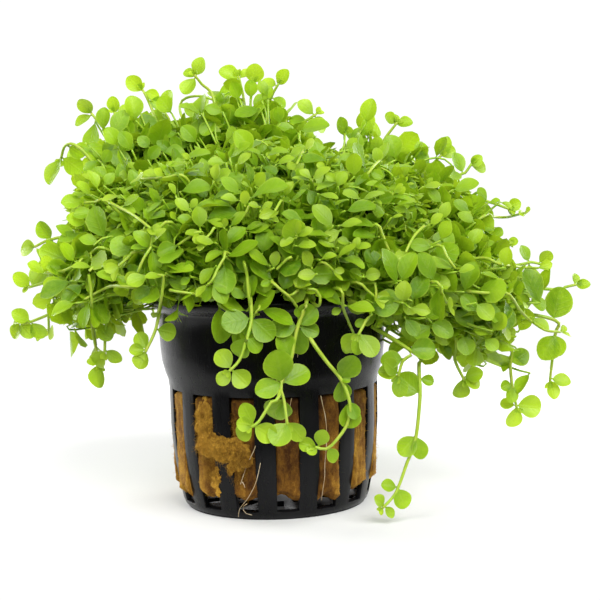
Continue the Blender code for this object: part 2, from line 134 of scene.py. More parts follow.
camera = add_camera()
print("camera at", *in_mm(camera.location), "lens", round(camera.data.lens, 1))

# %% [markdown]
# ## Node trees
# The finishes below, and the room's light, are small trees of nodes. A short way to write them
# keeps each finish to the few lines that say how it looks: an input takes a number, a colour or
# the output of another node alike.

# %% Node trees
class Nodes:
    """A short way to lay out the node tree of a material or a world."""

    def __init__(self, owner, shader="Principled BSDF"):
        self.owner = owner
        owner.use_nodes = True
        self.tree = owner.node_tree
        self.shader = self.tree.nodes[shader]
        self.surface = self.shader.outputs[0].links[0].to_socket

    def feed(self, socket, value):
        """Links another node's output to an input, or sets a number or a colour there."""
        if isinstance(value, bpy.types.NodeSocket):
            self.tree.links.new(value, socket)
        elif socket.type == "RGBA":
            socket.default_value = (*value, 1)
        else:
            socket.default_value = value

    def fill(self, node, values):
        for name, value in values.items():
            self.feed(node.inputs[name], value)
        return node

    def add(self, kind, *values, **settings):
        """A node whose first inputs take the values."""
        node = self.tree.nodes.new("ShaderNode" + kind)
        for name, setting in settings.items():
            setattr(node, name, setting)
        for socket, value in zip(node.inputs, values):
            self.feed(socket, value)
        return node

    def look(self, values):
        self.fill(self.shader, values)

    def where(self):
        return self.add("TexCoord").outputs["Object"]

    def axis(self, name):
        """The object's own x, y or z."""
        return self.add("SeparateXYZ", self.where()).outputs[name]

    def attribute(self, name):
        return self.add("Attribute", attribute_name=name).outputs["Fac"]

    def noise(self, scale, detail=2.0, roughness=0.5, stretch=None):
        """Noise in the object's own millimetres, scale in bumps per millimetre."""
        place = self.where()
        if stretch:
            place = self.fill(self.add("Mapping", place), {"Scale": stretch}).outputs["Vector"]
        values = {"Vector": place, "Scale": scale / MM, "Detail": detail, "Roughness": roughness}
        return self.fill(self.add("TexNoise"), values).outputs["Fac"]

    def ramp(self, source, *stops):
        """Maps a value to colours or greys through (position, colour) stops."""
        ramp = self.add("ValToRGB", source)
        steps = ramp.color_ramp.elements
        while len(steps) < len(stops):
            steps.new(0.5)
        for step, (position, colour) in zip(steps, stops):
            step.position = position
            step.color = (*colour, 1) if isinstance(colour, tuple) else (colour, colour, colour, 1)
        return ramp.outputs["Color"]

    def mix(self, share, first, second):
        """Mixes two colours, each an output or a colour; share is an output or a number."""
        node = self.add("Mix", data_type="RGBA")
        for number, value in ((0, share), (6, first), (7, second)):
            self.feed(node.inputs[number], value)
        return node.outputs[2]

    def math(self, operation, *values):
        return self.add("Math", *values, operation=operation).outputs[0]

    def total(self, *parts):
        """Adds up (value, weight) parts, each value an output or a number."""
        terms = [value if weight == 1 else self.math("MULTIPLY", value, weight) for value, weight in parts]
        added = terms[0]
        for term in terms[1:]:
            added = self.math("ADD", added, term)
        return added

    def bump(self, height, depth, strength=1.0):
        """Raises the shader's surface by a height, depth in millimetres."""
        values = {"Strength": strength, "Distance": depth * MM, "Height": height}
        normal = self.fill(self.add("Bump"), values).outputs["Normal"]
        self.look({"Normal": normal})
        return normal


# %% [markdown]
# ## Studio
# The picture is high key: a white table with hardly any shadow in a white room. One broad light
# from above and in front, a sun lamp with a wide angle, gives the leaves their modelling. The
# black pot shows what stands around it, so the table is small and the room is dim on the
# camera's side: the pot's front stays black and only its edges mirror the bright room behind.
# Two softboxes behind the plant light the rim of the leaves, and a weak one from the front left
# fills the shadows of the hanging leaves.

# %% Studio
WHITE = (1, 1, 1)
TABLE_RADIUS, TABLE_CENTRE, TABLE_SIDES = 140.0, Vector((-15, 84, 0)), 160
TABLE_LOOK = {
    "Base Color": (0.7, 0.7, 0.7),
    "Roughness": 0.9,
    "Emission Color": WHITE,
    "Emission Strength": 0.03,
}
WORLD_BEHIND, WORLD_IN_FRONT = 1.25, 0.18
WORLD_DIM_UNTIL, WORLD_BRIGHT_FROM = -0.15, 0.75
BACKDROP = 1.05
OVERHEAD_POWER, OVERHEAD_SPREAD_DEG = 3.5, 45
OVERHEAD_FROM, OVERHEAD_DISTANCE = Vector((0.5, -0.92, 0.9)), 400
LAMPS = {
    "left_softbox": ((-400, 300, 150), 320, 2.6),
    "right_softbox": ((400, 300, 150), 320, 1.8),
    "front_softbox": ((-250, -400, 330), 300, 1.3),
}
LAMP_AIM = Vector((0, 0, 45))


def add_table():
    bpy.ops.mesh.primitive_circle_add(vertices=TABLE_SIDES, radius=TABLE_RADIUS * MM,
                                      fill_type="NGON", location=TABLE_CENTRE * MM)
    table = bpy.context.object
    table.name = "studio_floor"
    nodes = Nodes(bpy.data.materials.new("white_table"))
    nodes.look(TABLE_LOOK)
    table.data.materials.append(nodes.owner)
    table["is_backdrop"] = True


def add_lamp(name, kind, place, way, power):
    lamp = bpy.data.lights.new(name, kind)
    lamp.energy = power
    thing = bpy.data.objects.new(name, lamp)
    thing.location = place * MM
    thing.rotation_euler = way.to_track_quat("-Z", "Y").to_euler()
    bpy.context.scene.collection.objects.link(thing)
    return lamp


def add_lamps():
    overhead = add_lamp("overhead_light", "SUN", OVERHEAD_FROM * OVERHEAD_DISTANCE,
                        -OVERHEAD_FROM, OVERHEAD_POWER)
    overhead.angle = math.radians(OVERHEAD_SPREAD_DEG)
    for name, (place, size, power) in LAMPS.items():
        lamp = add_lamp(name, "AREA", Vector(place), LAMP_AIM - Vector(place), power)
        lamp.shape = "DISK"
        lamp.size = size * MM


def light_world():
    """A white room, dimmer on the camera's side; the backdrop itself stays evenly white."""
    nodes = Nodes(bpy.data.worlds.new("white_studio"), "Background")
    direction = nodes.add("SeparateXYZ", nodes.add("TexCoord").outputs["Generated"])
    strength = nodes.add("MapRange", direction.outputs["Y"], WORLD_DIM_UNTIL, WORLD_BRIGHT_FROM,
                         WORLD_IN_FRONT, WORLD_BEHIND, interpolation_type="SMOOTHSTEP")
    nodes.look({"Color": WHITE, "Strength": strength.outputs["Result"]})
    backdrop = nodes.add("Background", WHITE, BACKDROP)
    in_view = nodes.add("LightPath").outputs["Is Camera Ray"]
    seen = nodes.add("MixShader", in_view, nodes.shader.outputs[0], backdrop.outputs[0])
    nodes.feed(nodes.surface, seen.outputs[0])
    bpy.context.scene.world = nodes.owner
    bpy.context.scene.view_settings.view_transform = "Standard"


add_table()
add_lamps()
light_world()
print("lamps:", "overhead_light,", ", ".join(LAMPS))

# %% [markdown]
# ## Mesh helpers
# Small helpers keep the later cells short. They turn a bmesh or arrays into an object, apply
# a modifier at once so that the mesh stays plain, and hide the solid that a piece stands for.

# %% Mesh helpers
CLOUD_DETAIL = 2


def new_object(name, mesh, *finishes):
    thing = bpy.data.objects.new(name, mesh)
    bpy.context.scene.collection.objects.link(thing)
    for finish in finishes:
        mesh.materials.append(finish)
    return thing


def from_bmesh(name, bm, *finishes):
    mesh = bpy.data.meshes.new(name)
    bm.to_mesh(mesh)
    bm.free()
    return new_object(name, mesh, *finishes)


def reshape(thing, kind, **settings):
    """Replaces the mesh by what one modifier makes of it."""
    modifier = thing.modifiers.new(kind.lower(), kind)
    for name, value in settings.items():
        setattr(modifier, name, value)
    graph = bpy.context.evaluated_depsgraph_get()
    graph.update()
    mesh = bpy.data.meshes.new_from_object(thing.evaluated_get(graph))
    thing.modifiers.clear()
    thing.data = mesh


def displace(thing, name, size, height, level=0.5):
    """Pushes the surface in and out by clouds of this size and height, in millimetres."""
    texture = bpy.data.textures.new(name, "CLOUDS")
    texture.noise_scale = size * MM
    texture.noise_depth = CLOUD_DETAIL
    reshape(thing, "DISPLACE", texture=texture, texture_coords="LOCAL",
            strength=height * MM, mid_level=level)


def remove(thing):
    bpy.data.objects.remove(thing, do_unlink=True)


def stands_for(piece, slot, *nodes):
    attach(piece, "root")
    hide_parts(*nodes)
    return piece


def triangles(thing):
    return sum(len(face.vertices) - 2 for face in thing.data.polygons)

# %% [markdown]
# ## Net pot
# The real pot is one moulding of black plastic: a flared lip, a plain collar, and a cage of
# fifteen flat bars. A grid of quads wrapped around the axis gives it. Cells that fall in a slot
# are left out, Solidify gives the wall its thickness and Bevel softens every moulded edge, so
# that each bar catches a line of light.

# %% Net pot shape
# The pot's outer side from the lip down: radius and height.
POT_OUTSIDE = [
    (25.7, 46.2), (26.9, 46.2), (27.5, 45.6), (27.3, 44.7), (26.4, 43.7), (24.9, 42.9), (24.4, 42.2),
    (24.3, 38.5), (24.1, 34.2), (23.8, 31.2), (23.3, 29.2), (22.7, 27.6), (22.5, 26.0),
    (22.45, 22.0), (22.4, 18.0), (22.1, 13.5), (21.6, 9.0), (21.0, 5.5), (20.2, 1.7), (19.8, 0.7),
    (19.0, 0.0),
]
POT_WALL = 1.15
POT_EDGE, EDGE_STEPS = 0.16, 2
BEVEL_ABOVE_DEG, SHARP_ABOVE_DEG = 40, 35
BAR_COUNT = 15
FIRST_BAR_DEG = -5.3
SECTOR_DEG = 360 / BAR_COUNT
SLOT_LOW, SLOT_HIGH = 1.7, 26.0
SLOT_WIDTH_LOW, SLOT_WIDTH_HIGH = 4.6, 5.4
FLOOR_SIDES = 120
FLOOR_OVERLAP = 0.3
FLOOR_SLOT_COUNT = 10
FLOOR_SLOT_WIDTH = 3.0
FLOOR_SLOT_FROM, FLOOR_SLOT_TO = 7.5, 17.4
SLOT_SHARES = (-1.0, -0.5, 0.0, 0.5)
BAR_SHARES = (0.0, 0.33, 0.67)


def around(degrees):
    """Turns from the front, -Y, towards the right, +X."""
    return Matrix.Rotation(math.radians(degrees), 4, "Z")


def slot_half_deg(radius, height):
    share = clamp((height - SLOT_LOW) / (SLOT_HIGH - SLOT_LOW))
    width = SLOT_WIDTH_LOW + share * (SLOT_WIDTH_HIGH - SLOT_WIDTH_LOW)
    return math.degrees(math.asin(width / 2 / radius))


def pot_columns(radius, height):
    """The bearings of one ring of corners, and whether a slot starts at each."""
    half = slot_half_deg(radius, height)
    for index in range(BAR_COUNT):
        middle = FIRST_BAR_DEG + (index + 0.5) * SECTOR_DEG
        for share in SLOT_SHARES:
            yield middle + share * half, True
        for share in BAR_SHARES:
            yield middle + half + share * (SECTOR_DEG - 2 * half), False


def pot_wall_mesh():
    bm = bmesh.new()
    rings = []
    for radius, height in POT_OUTSIDE:
        row = []
        for bearing, slotted in pot_columns(radius, height):
            corner = around(bearing) @ Vector((0, -radius, height)) * MM
            row.append((bm.verts.new(corner), slotted))
        rings.append((height, row))
    for (upper, above), (lower, below) in zip(rings, rings[1:]):
        in_slots = upper <= SLOT_HIGH and lower >= SLOT_LOW
        for index, (corner, slotted) in enumerate(above):
            if not (in_slots and slotted):
                following = (index + 1) % len(above)
                bm.faces.new((corner, below[index][0], below[following][0], above[following][0]))
    return bm


def pot_floor(radius):
    """The floor: a disc with slots like spokes."""
    bm = bmesh.new()
    bmesh.ops.create_cone(bm, segments=FLOOR_SIDES, radius1=radius * MM, radius2=radius * MM,
                          cap_ends=True, depth=POT_WALL * MM,
                          matrix=Matrix.Translation((0, 0, POT_WALL / 2 * MM)))
    floor = from_bmesh("pot_floor", bm)
    bm = bmesh.new()
    middle = (FLOOR_SLOT_FROM + FLOOR_SLOT_TO) / 2
    size = (FLOOR_SLOT_WIDTH, FLOOR_SLOT_TO - FLOOR_SLOT_FROM, 4 * POT_WALL)
    for index in range(FLOOR_SLOT_COUNT):
        place = around(index * 360 / FLOOR_SLOT_COUNT) @ Matrix.Translation((0, -middle * MM, 0))
        bmesh.ops.create_cube(bm, size=MM, matrix=place @ Matrix.Diagonal((*size, 1)))
    spokes = from_bmesh("floor_slots", bm)
    reshape(floor, "BOOLEAN", operation="DIFFERENCE", object=spokes)
    remove(spokes)
    return floor


def make_pot(finish):
    pot = from_bmesh("moulded_pot", pot_wall_mesh(), finish)
    reshape(pot, "SOLIDIFY", thickness=POT_WALL * MM, offset=-1)
    floor = pot_floor(POT_OUTSIDE[-1][0] + FLOOR_OVERLAP)
    reshape(pot, "BOOLEAN", operation="UNION", object=floor)
    reshape(pot, "BEVEL", width=POT_EDGE * MM, segments=EDGE_STEPS, limit_method="ANGLE",
            angle_limit=math.radians(BEVEL_ABOVE_DEG), use_clamp_overlap=True)
    remove(floor)
    pot.data.shade_smooth()
    pot.data.set_sharp_from_angle(angle=math.radians(SHARP_ABOVE_DEG))
    return stands_for(pot, "pot_plastic", "net_pot")


# %% [markdown]
# ## Black plastic
# Moulded plastic of this kind is nearly black and fairly glossy. What makes it look real is
# what breaks the gloss: a faint film of dust and dried water, fine scratches from handling, and
# a slight waviness of the wall that bends the reflections.

# %% Black plastic finish
PLASTIC_COLOUR = (0.0011, 0.0011, 0.0013)
DUST_COLOUR = (0.012, 0.012, 0.014)
CAGE_TOP = 28.0
FILM_SHARE, SPECK_SHARE = 0.6, 0.5
PLASTIC_ROUGH, DUST_ROUGHER, SCRATCH_ROUGHER = 0.24, 0.16, 0.07
PLASTIC_SPECULAR = 0.18
SCRATCH_HEIGHT = 0.02
WAVE_DEPTH, WAVE_STRENGTH = 0.25, 0.35


def black_plastic():
    nodes = Nodes(bpy.data.materials.new("black_moulded_plastic"))
    film = nodes.noise(0.11, detail=5, roughness=0.65, stretch=(1, 1, 0.35))
    film = nodes.math("MULTIPLY", nodes.ramp(film, (0.4, 0.15), (0.72, 1.0)), FILM_SHARE)
    specks = nodes.ramp(nodes.noise(2.6), (0.66, 0.0), (0.74, 1.0))
    scratches = nodes.noise(1.4, detail=3, stretch=(1, 1, 0.06))
    scratched = nodes.ramp(scratches, (0.55, 0.0), (0.7, 1.0))
    low = nodes.math("SUBTRACT", 1.0, nodes.math("DIVIDE", nodes.axis("Z"), CAGE_TOP * MM))
    low = nodes.ramp(low, (0.0, 0.15), (0.2, 1.0))
    dusty = nodes.total((nodes.math("MULTIPLY", film, low), 1), (specks, SPECK_SHARE))
    rough = nodes.total((dusty, DUST_ROUGHER), (PLASTIC_ROUGH, 1), (scratched, SCRATCH_ROUGHER))
    nodes.look({
        "Base Color": nodes.mix(dusty, PLASTIC_COLOUR, DUST_COLOUR),
        "Roughness": rough,
        "Specular IOR Level": PLASTIC_SPECULAR,
    })
    height = nodes.total((nodes.noise(0.16, detail=1), 1), (scratches, SCRATCH_HEIGHT))
    nodes.bump(height, WAVE_DEPTH, WAVE_STRENGTH)
    return nodes.owner


pot = make_pot(black_plastic())
print("net pot:", triangles(pot), "triangles")

# %% [markdown]
# ## Mineral wool
# The plant is rooted in a plug of mineral wool, an ochre felt of glassy fibres. It presses out
# between the bars until it is flush with them, its foot ends a few millimetres above the floor,
# and at the front left somebody has torn a tuft out over a bar. A turned felt surface is swollen
# in the slots, the tuft is a cluster of torn lumps, and both are roughened with two displacement
# textures. Thousands of short hairs make the nap.

# %% Mineral wool shape
WOOL_RADIUS_LOW, WOOL_RADIUS_HIGH = 20.3, 21.15
WOOL_BOTTOM, WOOL_TOP = 4.4, 41.0
WOOL_SWELL, SWELL_STOPS, SWELL_FADES = 1.5, 0.1, 0.9
SWELL_RATE_AT_FOOT = 30
WOOL_COLUMNS, WOOL_ROWS = 360, 90
WOOL_RAGGED_FOOT, FOOT_WAVES, WAVE_RATES = 2.2, 9, (3, 40)
FOOT_HOLLOW = 1.0
BAR_HALF_DEG, SLOT_EDGE_DEG = 5.0, 0.8
TUFT_BAR = -1
TUFT_CENTRE = (21.9, 15.5)
LUMP_SUBDIVISIONS = 5
# Each lump of the tuft: across, out and up from its centre, its half sizes, and its lean.
TUFT_LUMPS = [
    ((-4.1, -0.4, 4.6), (2.3, 1.2, 5.6), 0),
    ((-0.6, 0.3, 0.0), (4.6, 1.5, 2.7), 24),
    ((3.6, 0.0, -1.2), (2.8, 1.5, 3.4), -12),
    ((2.1, 0.4, -4.0), (0.9, 0.7, 1.6), 20),
    ((-1.9, -1.0, -6.4), (1.2, 1.0, 4.6), 6),
    ((-3.5, 0.2, 0.4), (2.3, 1.3, 2.6), 30),
]
# Two sizes of unevenness for the wool and for its tuft: torn lumps, then the felt's own grain.
WOOL_UNEVEN = {"torn_lumps": (4.0, 0.55), "felt_grain": (0.9, 0.35)}
TUFT_UNEVEN = {"torn_lumps": (1.8, 1.7), "felt_grain": (0.55, 0.8)}
to_tuft = around(FIRST_BAR_DEG + TUFT_BAR * SECTOR_DEG)


def slot_share(bearing):
    """1 in the middle of a slot and 0 behind a bar."""
    from_bar = abs((bearing - FIRST_BAR_DEG + SECTOR_DEG / 2) % SECTOR_DEG - SECTOR_DEG / 2)
    return clamp((from_bar - BAR_HALF_DEG) / SLOT_EDGE_DEG)


def wool_mesh():
    bm = bmesh.new()
    chance = random.Random(SEED)
    waves = [(chance.uniform(*WAVE_RATES), chance.uniform(0, 6.3)) for _ in range(FOOT_WAVES)]
    rings = []
    for row in range(WOOL_ROWS + 1):
        share = row / WOOL_ROWS
        ring = []
        for column in range(WOOL_COLUMNS):
            bearing = column * 360 / WOOL_COLUMNS
            radius = WOOL_RADIUS_LOW + share * (WOOL_RADIUS_HIGH - WOOL_RADIUS_LOW)
            foot = sum(math.sin(math.radians(bearing) * round(rate) + phase) for rate, phase in waves)
            low = WOOL_BOTTOM + WOOL_RAGGED_FOOT * foot / len(waves)
            height = low + share * (WOOL_TOP - low)
            in_slots = clamp((SLOT_HIGH - SWELL_STOPS - height) / SWELL_FADES)
            in_slots *= min(share * SWELL_RATE_AT_FOOT, 1)
            radius += WOOL_SWELL * slot_share(bearing) * in_slots
            ring.append(bm.verts.new(around(bearing) @ Vector((0, -radius, height)) * MM))
        rings.append(ring)
    for below, above in zip(rings, rings[1:]):
        for index, corner in enumerate(below):
            following = (index + 1) % WOOL_COLUMNS
            bm.faces.new((corner, below[following], above[following], above[index]))
    for ring, height in ((rings[0][::-1], WOOL_BOTTOM + FOOT_HOLLOW), (rings[-1], WOOL_TOP)):
        middle = bm.verts.new(UP * height * MM)
        for index, corner in enumerate(ring):
            bm.faces.new((corner, ring[(index + 1) % WOOL_COLUMNS], middle))
    return bm


def lump_place(offset, half_sizes, lean):
    radius, height = TUFT_CENTRE
    across, out, up = offset
    return (
        to_tuft
        @ Matrix.Translation(Vector((across, -radius - out, height + up)) * MM)
        @ Matrix.Rotation(math.radians(lean), 4, "Y")
        @ Matrix.Diagonal(Vector((*half_sizes, 1 / MM)) * MM)
    )


def tuft_mesh():
    bm = bmesh.new()
    for lump in TUFT_LUMPS:
        bmesh.ops.create_icosphere(bm, subdivisions=LUMP_SUBDIVISIONS, radius=1.0,
                                   matrix=lump_place(*lump))
    return bm


def roughened(thing, unevenness):
    for name, (size, height) in unevenness.items():
        displace(thing, name, size, height)
    return thing


def make_wool(finish, torn_finish):
    wool = roughened(from_bmesh("mineral_wool_plug", wool_mesh(), finish), WOOL_UNEVEN)
    tuft = roughened(from_bmesh("torn_wool", tuft_mesh(), torn_finish), TUFT_UNEVEN)
    bpy.ops.object.select_all(action="DESELECT")
    for thing in (wool, tuft):
        thing.select_set(True)
    bpy.context.view_layer.objects.active = wool
    bpy.ops.object.join()
    wool.data.shade_smooth()
    return stands_for(wool, "mineral_wool", "rockwool_plug")


# %% [markdown]
# ## Tubes from arrays
# Hairs, roots and stems are all thin tubes, thousands of them. One function turns a list of
# points into a ring of corners at each, and everything is joined into one mesh at the end,
# because separate objects would be slow and particles don't survive an export.

# %% Tubes
# A direction that no tube runs along, to turn the rings of corners by.
ODD_WAY = (0.31, 0.17, 0.94)


def along_curve(points, spacing):
    """Points on a smooth curve through the given ones, about spacing apart."""
    points = [Vector(point) for point in points]
    ends = [2 * points[0] - points[1]] + points + [2 * points[-1] - points[-2]]
    smooth = []
    for before, start, end, after in zip(ends, ends[1:], ends[2:], ends[3:]):
        steps = max(1, round((end - start).length / spacing))
        for step in range(steps):
            t = step / steps
            smooth.append(0.5 * (2 * start + (end - before) * t
                                 + (2 * before - 5 * start + 4 * end - after) * t * t
                                 + (3 * start - before - 3 * end + after) * t ** 3))
    return smooth + [points[-1]]


class Sheaf:
    """Corners and quads of many small shapes, to be made into one mesh."""

    def __init__(self):
        self.corners, self.quads, self.caps = [], [], []
        self.quad_finish, self.cap_finish = [], []
        self.blade, self.age, self.tone = [], [], []
        self.count = 0

    def add(self, corners, quads, finish=0, blade=None, age=0.5, tone=0.5, caps=()):
        """corners (n, 3) in millimetres, quads (m, 4), caps (k, 3); blade (n, 2) is a place on a leaf."""
        self.corners.append(corners)
        self.quads.append(quads + self.count)
        self.quad_finish.append(np.full(len(quads), finish))
        self.caps.append(np.asarray(caps, int).reshape(-1, 3) + self.count)
        self.cap_finish.append(np.full(len(caps), finish))
        self.blade.append(np.zeros((len(corners), 2)) if blade is None else blade)
        self.age.append(np.full(len(corners), float(age)))
        self.tone.append(np.full(len(corners), float(tone)))
        self.count += len(corners)

    def tube(self, points, radius_from, radius_to, sides=5, finish=0, tone=0.5):
        """A closed tube through the points, tapering from one radius to the other."""
        path = np.array([tuple(point) for point in points])
        way = np.gradient(path, axis=0)
        way /= np.linalg.norm(way, axis=1)[:, None] + TINY
        side = np.cross(way, ODD_WAY)
        side /= np.linalg.norm(side, axis=1)[:, None] + TINY
        up = np.cross(side, way)
        radius = np.linspace(radius_from, radius_to, len(path))[:, None, None]
        turn = np.linspace(0, 2 * math.pi, sides, endpoint=False)[None, :, None]
        rings = path[:, None] + radius * (np.cos(turn) * side[:, None] + np.sin(turn) * up[:, None])
        number = np.arange(len(path) * sides).reshape(len(path), sides)
        follow = np.roll(number, -1, axis=1)
        quads = np.stack([number[:-1], follow[:-1], follow[1:], number[1:]], 2).reshape(-1, 4)
        ends = np.stack([path[0] - way[0] * radius_from * 0.5, path[-1] + way[-1] * radius_to])
        foot, tip = len(path) * sides, len(path) * sides + 1
        caps = [(follow[0, side], number[0, side], foot) for side in range(sides)]
        caps += [(number[-1, side], follow[-1, side], tip) for side in range(sides)]
        corners = np.concatenate([rings.reshape(-1, 3), ends])
        self.add(corners, quads, finish, tone=tone, caps=caps)

    def mesh(self, name):
        mesh = bpy.data.meshes.new(name)
        faces = np.concatenate(self.quads).tolist() + np.concatenate(self.caps).tolist()
        mesh.from_pydata((np.concatenate(self.corners) * MM).tolist(), [], faces)
        mesh.polygons.foreach_set("material_index", np.concatenate(self.quad_finish + self.cap_finish))
        for title, values in (("leaf_age", self.age), ("leaf_tone", self.tone)):
            layer = mesh.attributes.new(title, "FLOAT", "POINT")
            layer.data.foreach_set("value", np.concatenate(values))
        blade = np.concatenate(self.blade)
        corner_of = np.empty(len(mesh.loops), int)
        mesh.loops.foreach_get("vertex_index", corner_of)
        mesh.uv_layers.new(name="blade").data.foreach_set("uv", blade[corner_of].ravel())
        mesh.shade_smooth()
        return mesh

    def piece(self, name, slot, node, *finishes):
        return stands_for(new_object(name, self.mesh(name), *finishes), slot, node)

# %% [markdown]
# ## Nap and roots
# Hairs stand out of the felt where it shows between the bars. A few fine roots have found
# their way out: they are pale, hair thin, and hang down the front of the wool.

# %% Nap and roots
NAP_HAIRS, NAP_LENGTHS = 4200, (0.22, 0.5)
NAP_BELOW, NAP_PROBE = 0.8, 35
TUFT_HAIRS, TUFT_LENGTHS = 3200, (0.35, 0.9)
TUFT_ACROSS, TUFT_UP, TUFT_PROBE, TUFT_DEPTH = (-6.6, 7), (-7.5, 7), 8, 0.6
HAIR_RADIUS, HAIR_TAPER = 0.03, 0.4
# How a hair lies: the mean and the spread along x, y and z.
NAP_SPREADS, NAP_LIES = ((0, 1), (0, 1), (-0.2, 0.8)), 0.7
TUFT_SPREADS = ((0, 0.7), (0, 0.4), (-0.4, 0.8))
# How far a hair's middle and its end have gone outwards and along its lie.
HAIR_MIDDLE, HAIR_END = (0.5, 0.3), (0.55, 1.0)
# Each root: its points from the top down.
ROOTS = [
    [(-4.0, -22.7, 16.3), (-4.5, -22.6, 15.0), (-5.4, -22.5, 13.3), (-6.3, -22.3, 11.1), (-7.3, -22.0, 8.3)],
    [(-6.9, -22.1, 8.8), (-6.6, -22.1, 8.2), (-6.4, -22.1, 7.6)],
    [(-3.1, -22.6, 12.7), (-3.6, -22.5, 10.5), (-4.2, -22.4, 8.5), (-5.0, -22.1, 6.8), (-6.0, -21.7, 5.1),
     (-6.9, -21.0, 3.9), (-7.7, -20.3, 2.7), (-8.0, -19.6, 0.9)],
    [(-6.1, -20.8, 3.9), (-6.9, -20.6, 3.4), (-6.9, -20.5, 2.5), (-6.3, -20.6, 1.8), (-5.2, -20.7, 1.5)],
    [(9.6, -21.1, 26.0), (9.9, -21.2, 24.2), (10.4, -21.0, 21.7), (10.6, -20.9, 18.7), (10.5, -20.9, 15.8),
     (10.1, -20.8, 11.9), (10.0, -20.6, 9.1), (9.6, -20.5, 6.6), (9.2, -20.3, 4.1)],
    [(1.6, -24.6, 27), (2.2, -24.5, 25.8), (1, -24.4, 24.6)],
    [(6.2, -25.2, 37), (5.2, -25.5, 36), (5, -25.4, 34.6)],
    [(3.6, -22.6, 25.9), (3.2, -22.7, 24.2), (2.9, -22.7, 22.6)],
]
ROOT_RADIUS, ROOT_TAPER = 0.075, 0.6
ROOT_STEP = 0.8


def drawn_way(chance, spreads):
    """A random way, from a mean and a spread along each of x, y and z."""
    return Vector([chance.gauss(mean, spread) for mean, spread in spreads])


def hair(sheaf, chance, foot, outward, length, lie):
    """One hair that leaves its foot and bends over along lie."""
    points = [foot]
    for rise, bend in (HAIR_MIDDLE, HAIR_END):
        points.append(foot + (outward * rise + lie * bend) * length)
    sheaf.tube(points, HAIR_RADIUS, HAIR_RADIUS * HAIR_TAPER, sides=3, tone=chance.random())


def scatter_nap(sheaf, chance, skin):
    """Hairs on the felt between the bars, found by looking in at the axis."""
    for _ in range(NAP_HAIRS):
        bearing = chance.uniform(0, 360)
        height = chance.uniform(WOOL_BOTTOM - NAP_BELOW, SLOT_HIGH)
        if slot_share(bearing) < 1:
            continue
        outward = around(bearing).to_3x3() @ FRONT
        foot, _, _, _ = skin.ray_cast((outward * NAP_PROBE + UP * height) * MM, -outward)
        if foot:
            lie = drawn_way(chance, NAP_SPREADS) * NAP_LIES
            hair(sheaf, chance, foot / MM, outward, chance.uniform(*NAP_LENGTHS), lie)


def scatter_tuft(sheaf, chance, skin):
    """Longer hairs all over the torn tuft."""
    middle = to_tuft @ Vector((0, -TUFT_CENTRE[0], TUFT_CENTRE[1]))
    outward = to_tuft.to_3x3() @ FRONT
    for _ in range(TUFT_HAIRS):
        across = to_tuft @ Vector((chance.uniform(*TUFT_ACROSS), -TUFT_PROBE, chance.uniform(*TUFT_UP)))
        foot, _, _, _ = skin.ray_cast((middle + across) * MM, -outward)
        if foot and (foot / MM - middle).dot(outward) > -TUFT_DEPTH:
            lie = drawn_way(chance, TUFT_SPREADS)
            hair(sheaf, chance, foot / MM, outward, chance.uniform(*TUFT_LENGTHS), lie)


def make_nap(wool, finish):
    skin = BVHTree.FromObject(wool, bpy.context.evaluated_depsgraph_get())
    chance = random.Random(SEED)
    sheaf = Sheaf()
    scatter_nap(sheaf, chance, skin)
    scatter_tuft(sheaf, chance, skin)
    return sheaf.piece("wool_nap", "mineral_wool", "rockwool_plug", finish)


def make_roots(finish):
    sheaf = Sheaf()
    for points in ROOTS:
        sheaf.tube(along_curve(points, ROOT_STEP), ROOT_RADIUS, ROOT_RADIUS * ROOT_TAPER, sides=6)
    return sheaf.piece("fine_roots", "mineral_wool", "rockwool_plug", finish)


# %% [markdown]
# ## Wool and root finishes
# Wet mineral wool is a warm ochre with paler, drier streaks, and brown painted shade in the
# hollows between the fibres. The streaks follow the fibres, so the noise is stretched along the
# wall's height. The plug is painted darker high up, as painted shade under the collar, and paler
# towards its foot. It is painted paler towards its sides, as painted side light, and darker in
# the middle of its front.

# %% Wool and root finishes
WOOL_DEEP = (0.050, 0.017, 0.002)
WOOL_MIDDLE = (0.22, 0.095, 0.010)
WOOL_PALE = (0.67, 0.37, 0.045)
WOOL_STOPS = [(0.36, WOOL_DEEP), (0.5, WOOL_MIDDLE), (0.68, WOOL_PALE)]
WOOL_ROUGH, WOOL_SPECULAR = 0.92, 0.2
WOOL_DEPTH, WOOL_RELIEF = 0.3, 0.8
# Painted shade under the collar and painted side light on the plug: their shares, where the side light is
# least across the front, and how far out it starts.
COLLAR_SHADE_SHARE, SIDE_LIGHT_SHARE = 0.09, 0.18
LEAST_SIDE_LIGHT_X, SIDES_FROM = 1.5, 0.6
TORN_IS_BRIGHTER, HAIR_IS_BRIGHTER = 0.155, 0.1
ROOT_STOPS = [(0.35, (0.42, 0.28, 0.12)), (0.65, (0.75, 0.62, 0.42))]
ROOT_ROUGH = 0.5


